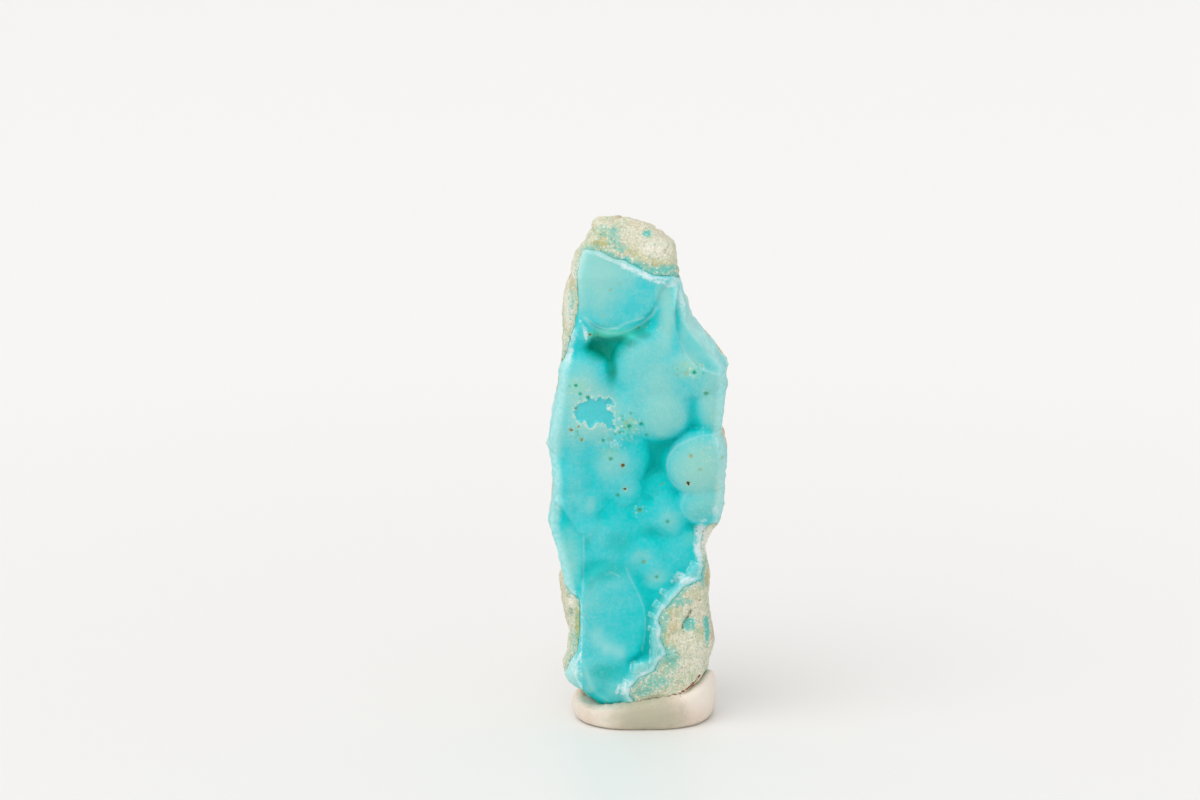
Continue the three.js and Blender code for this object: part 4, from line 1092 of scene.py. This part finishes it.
def rock_finish(look):
    """Cream host rock: granular, with green, teal and ochre stains, weathered grey behind, and painted shade
    in the hollows of its broken surface with painted light on its crests behind.
    """
    finish = Finish("Host Rock", Specular_IOR_Level=0.2)
    mask, between, times = finish.mask, finish.between, finish.times
    clouds = finish.mottle(1.7, 5, 1.2)
    warmth = finish.mottle(2.4, 4, 1, 2)
    fine = finish.mottle(0.35, 5, 1.4)
    colour = finish.ramp(fine, [(0, look.shadow), (0.45, look.cream), (1, look.light)])
    colour = finish.coat(colour, (between(warmth, 0.4, 1, 0, 0.45), look.warm),
                         (between(clouds, 0.35, 0.95, 0, 0.6), look.moss))
    for size, width, strength, tint in ((0.5, 0.045, 0.42, look.olive), (0.42, 0.04, 0.3, look.teal),
                                        (0.9, 0.03, 0.5, look.light), (0.7, 0.014, 0.35, look.pit),
                                        (1.6, 0.01, 0.4, look.pit)):
        colour = finish.mix(times(finish.veins(size, width), strength), colour, tint)

    # The weathered back.
    behind = finish.ramp(finish.mottle(7, 6, 1.1, 5), [
        (0, look.brown), (0.25, look.weathered), (0.7, look.pale_back), (1, look.cream)])
    for size, detail, seed, low, strength, tint in (
            (0.6, 6, 6, 0.2, 0.6, look.pale_back), (0.4, 4, 4, 0.6, 0.4, look.brown),
            (8, 6, 7, 0.6, 0.45, look.ochre), (6, 6, 8, 0.86, 0.4, look.rust),
            (8, 6, 9, 0.84, 0.5, look.moss)):
        share = between(finish.mottle(size, detail, 1.4, seed), low, 1, 0, strength)
        behind = finish.mix(share, behind, tint)
    # Painted shade and light by relief: hollows of the broken rock darker, and crests on the back paler.
    relief_shade = finish.maths("ADD", mask("relief_shade"), between(fine, 0, 1, -0.08, 0.08))
    behind = finish.coat(
        behind, (times(finish.veins(2.6, 0.008), 0.5), look.pit),
        (times(finish.veins(1.5, 0.015), 0.3), look.light), (between(relief_shade, 0.1, -0.35, 0, 0.5), look.brown),
        (between(relief_shade, 0.3, 0.75, 0, 0.45), look.light))
    back = finish.maths("ADD", mask("back"), finish.mottle(1.2, 6, 1, 3, -0.35, 0.35))
    back = between(back, 0.15, 0.85)
    # Painted shade darkens the hollows on the front as well.
    colour = finish.coat(colour, (between(relief_shade, 0.35, 0.1, 0, 0.4), look.shadow), (back, behind))

    # Stains, specks and cracks over both.
    for name, tint, size, break_up, edge in (
            ("milky", look.light, 0.4, 0.4, 0.5), ("olive", look.lime, 0.4, 0.4, 0.5),
            ("ochre", look.ochre, 0.4, 0.4, 0.5), ("pink", look.pink, 0.4, 0.4, 0.5),
            ("teal", look.teal, 0.5, 0.4, 0.4), ("rust", look.rust, 0.7, 0.2, 0.2)):
        colour = finish.stain(colour, tint, name, size, break_up, edge)
    for spacing, radius, chance, strength, tint in (
            (0.5, 0.36, 0.4, 0.5, look.light), (0.7, 0.26, 0.25, 0.5, look.teal),
            (0.8, 0.22, 0.25, 0.45, look.olive), (0.9, 0.13, 0.35, 0.6, look.pit)):
        strength = between(back, 0, 1, strength, 0.2 * strength)
        specks = times(finish.specks(spacing, radius, chance), strength)
        colour = finish.mix(specks, colour, tint)
    colour = finish.mix(mask("crack"), colour, look.pit)
    roughness = between(fine, 0, 1, look.roughness - 0.08, look.roughness + 0.08)
    height = finish.maths("ADD", finish.grain(0.3, 0.4), times(fine, 0.8))
    return finish.finish(colour, roughness, height, look.grain)


def putty_finish(look):
    """Warm off-white putty, dull, with faint smudges, painted shade by the stone, at the bottom and in the
    middle, painted light on its right part, and tiny dark specks.
    """
    finish = Finish("Mineral Putty", Specular_IOR_Level=0.3, Subsurface_Weight=0.1,
                    Subsurface_Scale=0.8 * MM)
    between, times = finish.between, finish.times
    clouds = finish.mottle(3.5, 4)
    fine = finish.mottle(0.4, 3)
    colour = finish.coat(
        look.pale, (between(clouds, 0.2, 1), look.pink), (between(fine, 0.4, 1, 0, 0.25), look.smudge_and_shade),
        # Painted light pales the putty's right part.
        (finish.mask("clean"), look.clean))
    # The smudge colour also paints shade: by the stone, towards the floor and in the listed patches.
    colour = finish.stain(colour, look.smudge_and_shade, "smudge_and_shade", 1.2, 0.14, 0.5)
    colour = finish.mix(times(finish.specks(1.5, 0.07, 0.5), 0.6), colour, look.speck)
    roughness = between(fine, 0, 1, look.roughness - 0.05, look.roughness + 0.05)
    height = finish.maths("ADD", finish.grain(0.3, 0.8), times(clouds, 1.5))
    return finish.finish(colour, roughness, height, look.grain)


# ---- Settings ----

def length_setting(name, millimetres, description):
    return bpy.props.FloatProperty(
        name=name, description=description, default=millimetres * MM, min=0, unit="LENGTH",
        subtype="DISTANCE", precision=5)


def colour_setting(name, red, green, blue, description):
    return bpy.props.FloatVectorProperty(
        name=name, description=description, default=linear(red, green, blue), min=0, max=1, size=3,
        subtype="COLOR")


def share_setting(name, default, description):
    return bpy.props.FloatProperty(
        name=name, description=description, default=default, min=0, max=1, subtype="FACTOR")


class CrustSettings(bpy.types.PropertyGroup):
    cell: length_setting("Mesh Cell", 0.22, "Spacing of the lattice that the crust is meshed on")
    softness: bpy.props.FloatProperty(
        name="Softness", description="How softly two botryoids run into each other", default=1, min=0.1)
    window_depth: length_setting("Window Depth", 0.3, "Thickness of the pale skin missing over the window")
    rim_rise: length_setting("Rim Rise", 0.12, "How far the white rim stands above the crust")
    plate_rise: length_setting("Plate Rise", 0.16, "How far the small square plates stand out")
    pore_depth: length_setting("Pore Depth", 0.35, "Depth of the pores")
    side_break: length_setting("Side Break", 0.3, "Roughness of the crust's broken sides")
    druse: length_setting("Druse", 0.045, "Roughness of the crust's surface")
    grain: length_setting("Grain", 0.03, "Height of the finest crystals")
    glow: share_setting("Glow", 0.2, "How much light travels inside the crust")
    glow_depth: length_setting("Glow Depth", 1.2, "How far light travels inside the crust")
    roughness: share_setting("Roughness", 0.5, "Dullness of the crust")
    # Deep, Valley and Crest follow the relief: partly the crust's own colour, partly painted shade in the
    # valleys and painted light on the crests.
    deep: colour_setting("Deep", 0, 184, 180, "Deepest valleys")
    valley: colour_setting("Valley", 0, 204, 206, "Valleys between botryoids")
    body: colour_setting("Body", 74, 206, 211, "Sides of the botryoids")
    crest: colour_setting("Crest", 124, 208, 205, "Crests of the botryoids")
    # Bloom is chalky skin, and also painted light on faces turned from the light.
    bloom_and_light: colour_setting("Bloom", 152, 213, 206, "Chalky skin")
    green: colour_setting("Green", 150, 213, 185, "Greenish skin")
    chalk: colour_setting("Chalk", 206, 226, 210, "Thickest chalky skin, around the window")
    speckle: colour_setting("Speckle", 176, 188, 132, "Ochre and green specks in the skin")
    # Edge is a painted glow along the stone's left and right sides.
    edge: colour_setting("Edge", 178, 231, 230, "Thin glowing skin along the specimen's sides")
    # Lip is painted light under the crown's edge, where it faces down into shade.
    lip: colour_setting("Lip", 104, 236, 212, "Under the crown's edge")
    shade: colour_setting("Shade", 0, 136, 110, "The hollow under the crown")
    window: colour_setting("Window", 80, 206, 211, "The bare blue window")
    side: colour_setting("Side", 128, 212, 212, "Between the growth bands on a broken side")
    band: colour_setting("Band", 178, 229, 227, "Growth bands and edges")
    frost: colour_setting("Frost", 226, 242, 243, "White crystals along the edge")
    halo: colour_setting("Halo", 190, 196, 150, "Stain around a brown pore")
    pit: colour_setting("Pit", 64, 50, 26, "Inside of a brown pore")
    ochre: colour_setting("Ochre", 166, 136, 76, "Inside of an ochre pore")
    green_pit: colour_setting("Green Pit", 36, 176, 148, "Inside of a green pore")


class RockSettings(bpy.types.PropertyGroup):
    cell: length_setting("Mesh Cell", 0.27, "Spacing of the lattice that the rock is meshed on")
    facets: length_setting("Facets", 0.5, "How far the flat facets of the broken sides and back step")
    roughening: length_setting("Roughening", 0.36, "Depth of the rock's broken surface")
    grain: length_setting("Grain", 0.12, "Height of the finest grains")
    roughness: share_setting("Roughness", 0.82, "Dullness of the rock")
    # Light, Shadow and Brown also paint shade in the rock's hollows and light on its crests behind.
    light: colour_setting("Light", 250, 246, 232, "Lightest grains")
    cream: colour_setting("Cream", 240, 233, 208, "Host rock")
    shadow: colour_setting("Shadow", 214, 210, 180, "Between the grains")
    warm: colour_setting("Warm", 240, 226, 186, "Warmer patches")
    lime: colour_setting("Lime", 186, 190, 118, "Yellow-green stain")
    moss: colour_setting("Moss", 196, 214, 176, "Yellow-green stain")
    olive: colour_setting("Olive", 158, 168, 114, "Thin olive veins")
    pink: colour_setting("Pink", 216, 196, 182, "Pinkish patches")
    teal: colour_setting("Teal", 112, 204, 192, "Teal stain")
    ochre: colour_setting("Ochre", 212, 184, 122, "Ochre stain")
    rust: colour_setting("Rust", 150, 84, 56, "Reddish-brown stain")
    weathered: colour_setting("Weathered", 219, 206, 177, "Weathered back")
    pale_back: colour_setting("Pale Back", 236, 228, 205, "Paler rock on the back")
    brown: colour_setting("Brown", 190, 170, 136, "Darkest rock on the back")
    pit: colour_setting("Pit", 92, 104, 78, "Small dark pits")


class PuttySettings(bpy.types.PropertyGroup):
    cell: length_setting("Mesh Cell", 0.25, "Spacing of the lattice that the putty is meshed on")
    unevenness: length_setting("Unevenness", 0.16, "How uneven thumbs have left the putty")
    grain: length_setting("Grain", 0.02, "Height of the finest grain")
    roughness: share_setting("Roughness", 0.72, "Dullness of the putty")
    pale: colour_setting("Pale", 240, 228, 214, "Putty")
    pink: colour_setting("Pink", 233, 213, 197, "Warmer patches")
    # Clean is painted light on the putty's right part.
    clean: colour_setting("Clean", 246, 236, 224, "The cleanest, palest part")
    # Smudge also serves as painted shade on the putty.
    smudge_and_shade: colour_setting("Smudge", 190, 184, 160, "Smudges")
    speck: colour_setting("Speck", 160, 140, 112, "Specks")


class StageSettings(bpy.types.PropertyGroup):
    lens: bpy.props.FloatProperty(
        name="Lens", description="Focal length of the camera", default=100, unit="CAMERA")
    distance: length_setting("Distance", 476.2, "From the camera to the point it looks at")
    elevation: bpy.props.FloatProperty(
        name="Elevation", description="How far the camera looks down", default=math.radians(12),
        subtype="ANGLE", unit="ROTATION")
    floor: colour_setting("Floor", 246, 245, 243, "The surface that the specimen stands on")
    # Painted shade: the floor takes this colour close to the specimen.
    shaded_floor: colour_setting("Near Floor", 240, 239, 237, "The same surface close to the specimen")
    sky: share_setting("Sky", 0.76, "Brightness of the even light from all sides")
    sun: bpy.props.FloatProperty(
        name="Softbox", description="Strength of the large soft light above and to the left",
        default=1.15, min=0)


# ---- Operators ----

def add_piece(name, lattice, field, masks, finish):
    """Meshes a field, stores masks at its vertices, and gives it its finish."""
    vertices, faces = lattice.surface(field)
    if not len(faces):
        raise RuntimeError(name + " came out empty")
    mesh = bpy.data.meshes.new(name)
    mesh.from_pydata((vertices * MM).tolist(), [], faces.tolist())
    for mask, values in masks(vertices).items():
        stored = mesh.attributes.new(mask, "FLOAT", "POINT")
        stored.data.foreach_set("value", np.asarray(values, np.float32))
    mesh.shade_smooth()
    mesh.materials.append(finish)
    piece = bpy.data.objects.new(name, mesh)
    bpy.context.scene.collection.objects.link(piece)
    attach(piece, "root")
    return piece


class AddCrust(bpy.types.Operator):
    """Adds the botryoidal hemimorphite crust on the specimen's front"""

    bl_idname = "specimen.add_crust"
    bl_label = "Add Crust"

    def execute(self, context):
        look = context.scene.specimen_crust
        lattice = Lattice(*CRUST_BLOCK, look.cell / MM)
        edge = lattice.crust_edge()
        field = lattice.stone(look.softness, look.window_depth / MM)
        near = np.abs(field) < 1
        field[near] -= self.detail(look, lattice.points(near), edge[near])
        relief = lattice.relief(field)
        field = np.maximum(field, lattice.crust_region(edge))

        def masks(vertices):
            x, y, z = vertices.T
            side = self.on_side(x, y, z)
            outside = lattice.sample(edge, vertices)
            strength = rim_strength(x, z)
            band = soft_step(outside, -1.8, -0.8) * soft_step(z, *RIM["below"])
            pore, pore_tone = pores(x, z)
            patches = {name: spots(x, z, places) for name, places in PATCHES.items()}
            return {
                **patches,
                # How far a place stands out and forward, which the finish paints as shade in the valleys and
                # light on the crests.
                "relief": lattice.sample_front(relief, x, z) + 0.45 * np.clip(-y - 5.8, -1, 2.6),
                "rim": rim_strip(outside, **RIM_WHITE) * (strength * (1 - 0.7 * side)),
                "arcs": np.maximum(lines(x, z, ARCS), 0.35 * band * strength),
                "frost": np.maximum(lines(x, z, FROST), spots(x, z, FROSTED)) * (1 - side),
                "window": outline_distance(x, z, WINDOW), "silhouette_glow": beside(x, z),
                "plate": plates(x, z) + FAR * side, "pore": pore + FAR * side, "pore_tone": pore_tone,
                "side": side, "fracture": shattered(vertices, 2.4, 71), "thickness": contact_depth(x, z) - y}

        crust = add_piece("hemimorphite", lattice, field, masks, hemimorphite_finish(look))
        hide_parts("hemimorphite_crust")
        return {"FINISHED"}

    @staticmethod
    def on_side(x, y, z):
        """1 on the crust's broken sides, 0 on its front."""
        return soft_step(y, SIDES_FROM - 0.8, SIDES_FROM + 1.0) * beside(x, z)

    @classmethod
    def detail(cls, look, points, edge):
        """How far the crust's surface stands out past the smooth stone, in millimetres."""
        x, y, z = points.T
        front = soft_step(y, *CRUST_FRONT)
        rise = look.druse / MM * (rough(points, 1.4, 3, 11) + 0.5 * noise(points, 0.45, 12))
        broken = 2.2 * shattered(points, 2.4, 71) - 0.5 + rough(points, 0.9, 2, 72)
        rise += look.side_break / MM * cls.on_side(x, y, z) * broken
        rim = rim_strip(edge, **RIM_RAISED) * rim_strength(x, z)
        rise += look.rim_rise / MM * rim * (0.7 + 0.7 * noise(points, 0.75, 13))
        rise += look.plate_rise / MM * front * soft_step(-plates(x, z), *PLATE_STEP)
        rise += FROST_RISE * front * lines(x, z, FROST)
        rise -= look.pore_depth / MM * front * soft_step(-pores(x, z)[0], *PORE_STEP)
        return rise


class AddRock(bpy.types.Operator):
    """Adds the host rock behind and around the crust"""

    bl_idname = "specimen.add_rock"
    bl_label = "Add Host Rock"

    def execute(self, context):
        look = context.scene.specimen_rock
        crust = context.scene.specimen_crust
        lattice = Lattice(*ROCK_BLOCK, look.cell / MM)
        edge = lattice.crust_edge()
        region = lattice.crust_region(edge)
        field = lattice.stone(crust.softness, 0)
        near = np.abs(field) < 1.4
        field[near] -= self.detail(look, lattice.points(near), region[near])
        field = np.maximum(field, -region - OVERLAP)

        def masks(vertices):
            x, y, z = vertices.T
            front = soft_step(y, *ROCK_FRONT)
            outside = lattice.sample(edge, vertices)
            strength = 0.4 + 0.6 * rim_strength(x, z)
            along_crust = fade(np.maximum(outside - 0.1, 0), 0.7) * strength
            border = fade(outside - 1.5, 0.7) * strength
            stains = {name: spots(x, z, places) for name, places in STAINS.items()}
            rust = np.maximum(stains["rust"], lines(x, z, RUST_LINES))
            return {
                "teal": front * np.maximum(stains["teal"], 0.75 * along_crust),
                "olive": front * np.maximum(stains["olive"], 0.35 * border),
                "milky": front * stains["milky"], "ochre": front * stains["ochre"],
                "rust": soft_step(y, -2, -4) * rust, "pink": soft_step(y, 0, -3) * stains["pink"],
                "crack": front * lines(x, z, CRACKS),
                # The rock's relief, which the finish paints as shade in the hollows and light on the crests.
                "relief_shade": 0.5 + self.detail(look, vertices, lattice.sample(region, vertices)) / 1.2,
                "back": soft_step(y + 9 * rough(vertices, 12, 4, 51), -4, 8)}

        rock = add_piece("host_rock_piece", lattice, field, masks, rock_finish(look))
        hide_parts("host_rock")
        return {"FINISHED"}

    @staticmethod
    def detail(look, points, region):
        """How far the broken rock stands out past the smooth stone, in millimetres."""
        x, y, z = points.T
        away = soft_step(region, 0, 1.4)
        rise = rough(points, 3.2, 3, 21) + 0.45 * rough(points, 0.9, 2, 22)
        rise = rise - 0.6 * soft_step(0.18 - np.abs(noise(points, 2.2, 23)), 0, 0.18)
        rise = rise - 0.4 * soft_step(y, *ROCK_FRONT) * lines(x, z, CRACKS)
        crest = 1 + 0.8 * soft_step(z, 65, 69)
        rise = look.roughening / MM * crest * rise * (0.3 + 0.7 * away)
        behind = soft_step(y, -1, 4) * (1 - 0.5 * soft_step(z, 64, 69))
        facets = 1.9 * (shattered(points, 7.5, 81) - 0.4) + 0.8 * (shattered(points, 2.8, 91) - 0.3)
        rise += look.facets / MM * facets * away * (0.25 + 0.75 * behind)
        beside_crust = soft_step(y, -4, -1) * soft_step(y, 9, 5) * soft_step(z, 22, 30) * soft_step(z, 54, 50)
        return rise - 0.35 * soft_step(region, 0.2, 3) * beside_crust


class AddPutty(bpy.types.Operator):
    """Adds the pat of mineral putty that the specimen stands in"""

    bl_idname = "specimen.add_putty"
    bl_label = "Add Putty"

    def execute(self, context):
        look = context.scene.specimen_putty
        crust = context.scene.specimen_crust
        lattice = Lattice(*PUTTY_BLOCK, look.cell / MM)
        stone = lattice.stone(crust.softness, 0)
        field = lattice.pat(stone, look.unevenness / MM)

        def masks(vertices):
            x, _, z = vertices.T
            # Painted shade: darker close to the stone and towards the floor, and in the listed patches.
            near_stone = fade(np.maximum(lattice.sample(stone, vertices), 0), 0.5)
            smudge_and_shade = np.maximum(0.5 * near_stone, 0.7 * soft_step(z, 0.7, 0))
            return {"smudge_and_shade": np.maximum(smudge_and_shade, spots(x, z, PUTTY_SHADE_AND_SMUDGES)),
                    "clean": spots(x, z, PUTTY_LIGHT)}

        putty = add_piece("mineral_putty", lattice, field, masks, putty_finish(look))
        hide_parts("putty_base")
        return {"FINISHED"}


class AddStage(bpy.types.Operator):
    """Adds the pale floor, the soft studio light and the camera"""

    bl_idname = "specimen.add_stage"
    bl_label = "Add Stage"

    def execute(self, context):
        scene = context.scene
        look = scene.specimen_stage
        self.add_floor(scene, look)
        self.add_light(scene, look)
        self.add_camera(scene, look)
        scene.view_settings.view_transform = "Standard"
        return {"FINISHED"}

    @staticmethod
    def add_floor(scene, look):
        turns = [2 * math.pi * corner / FLOOR_CORNERS for corner in range(FLOOR_CORNERS)]
        mesh = bpy.data.meshes.new("studio_floor")
        mesh.from_pydata([(FLOOR_REACH * math.cos(turn), FLOOR_REACH * math.sin(turn), 0) for turn in turns],
                         [], [tuple(range(FLOOR_CORNERS))])
        finish = Finish("Studio Floor", Specular_IOR_Level=0.35, Roughness=0.4)
        place = finish.add("ShaderNodeTexCoord", output="Object")
        away = finish.add("ShaderNodeVectorMath", {0: place}, output="Value", operation="LENGTH")
        # Painted shade: the floor darkens towards the specimen.
        colour = finish.mix(finish.between(away, *NEAR_FLOOR), look.floor, look.shaded_floor)
        finish.tree.links.new(colour, finish.shader.inputs["Base Color"])
        mesh.materials.append(finish.material)
        floor = bpy.data.objects.new("studio_floor", mesh)
        scene.collection.objects.link(floor)

    @staticmethod
    def add_light(scene, look):
        world = bpy.data.worlds.new("Studio")
        world.use_nodes = True
        background = world.node_tree.nodes["Background"]
        background.inputs["Color"].default_value = WHITE
        background.inputs["Strength"].default_value = look.sky
        scene.world = world
        sun = bpy.data.lights.new("softbox", "SUN")
        sun.energy = look.sun
        sun.angle = SUN_SPREAD
        lamp = bpy.data.objects.new("softbox", sun)
        lamp.rotation_euler = Vector(SUN_FROM).to_track_quat("Z", "Y").to_euler()
        scene.collection.objects.link(lamp)

    @staticmethod
    def add_camera(scene, look):
        away = Vector((0, -math.cos(look.elevation), math.sin(look.elevation)))
        data = bpy.data.cameras.new("camera")
        data.lens = look.lens
        data.sensor_width = 36
        camera = bpy.data.objects.new("camera", data)
        camera.location = Vector(LOOKS_AT) * MM + look.distance * away
        camera.rotation_euler = away.to_track_quat("Z", "Y").to_euler()
        scene.collection.objects.link(camera)
        scene.camera = camera


class SpecimenPanel(bpy.types.Panel):
    """Lists the specimen's settings and the operators that build it"""

    bl_label = "Hemimorphite Specimen"
    bl_idname = "VIEW3D_PT_specimen"
    bl_space_type = "VIEW_3D"
    bl_region_type = "UI"
    bl_category = "Specimen"

    def draw(self, context):
        for name, settings, operator in PIECES:
            box = self.layout.box()
            box.operator(operator.bl_idname)
            group = getattr(context.scene, name)
            for key in settings.__annotations__:
                box.prop(group, key)


PIECES = [
    ("specimen_crust", CrustSettings, AddCrust),
    ("specimen_rock", RockSettings, AddRock),
    ("specimen_putty", PuttySettings, AddPutty),
    ("specimen_stage", StageSettings, AddStage),
]


def register():
    for name, settings, operator in PIECES:
        bpy.utils.register_class(settings)
        bpy.utils.register_class(operator)
        setattr(bpy.types.Scene, name, bpy.props.PointerProperty(type=settings))
    bpy.utils.register_class(SpecimenPanel)


def unregister():
    bpy.utils.unregister_class(SpecimenPanel)
    for name, settings, operator in reversed(PIECES):
        delattr(bpy.types.Scene, name)
        bpy.utils.unregister_class(operator)
        bpy.utils.unregister_class(settings)


def main():
    register()
    bpy.ops.specimen.add_crust()
    bpy.ops.specimen.add_rock()
    bpy.ops.specimen.add_putty()
    bpy.ops.specimen.add_stage()


if __name__ == "__main__":
    main()
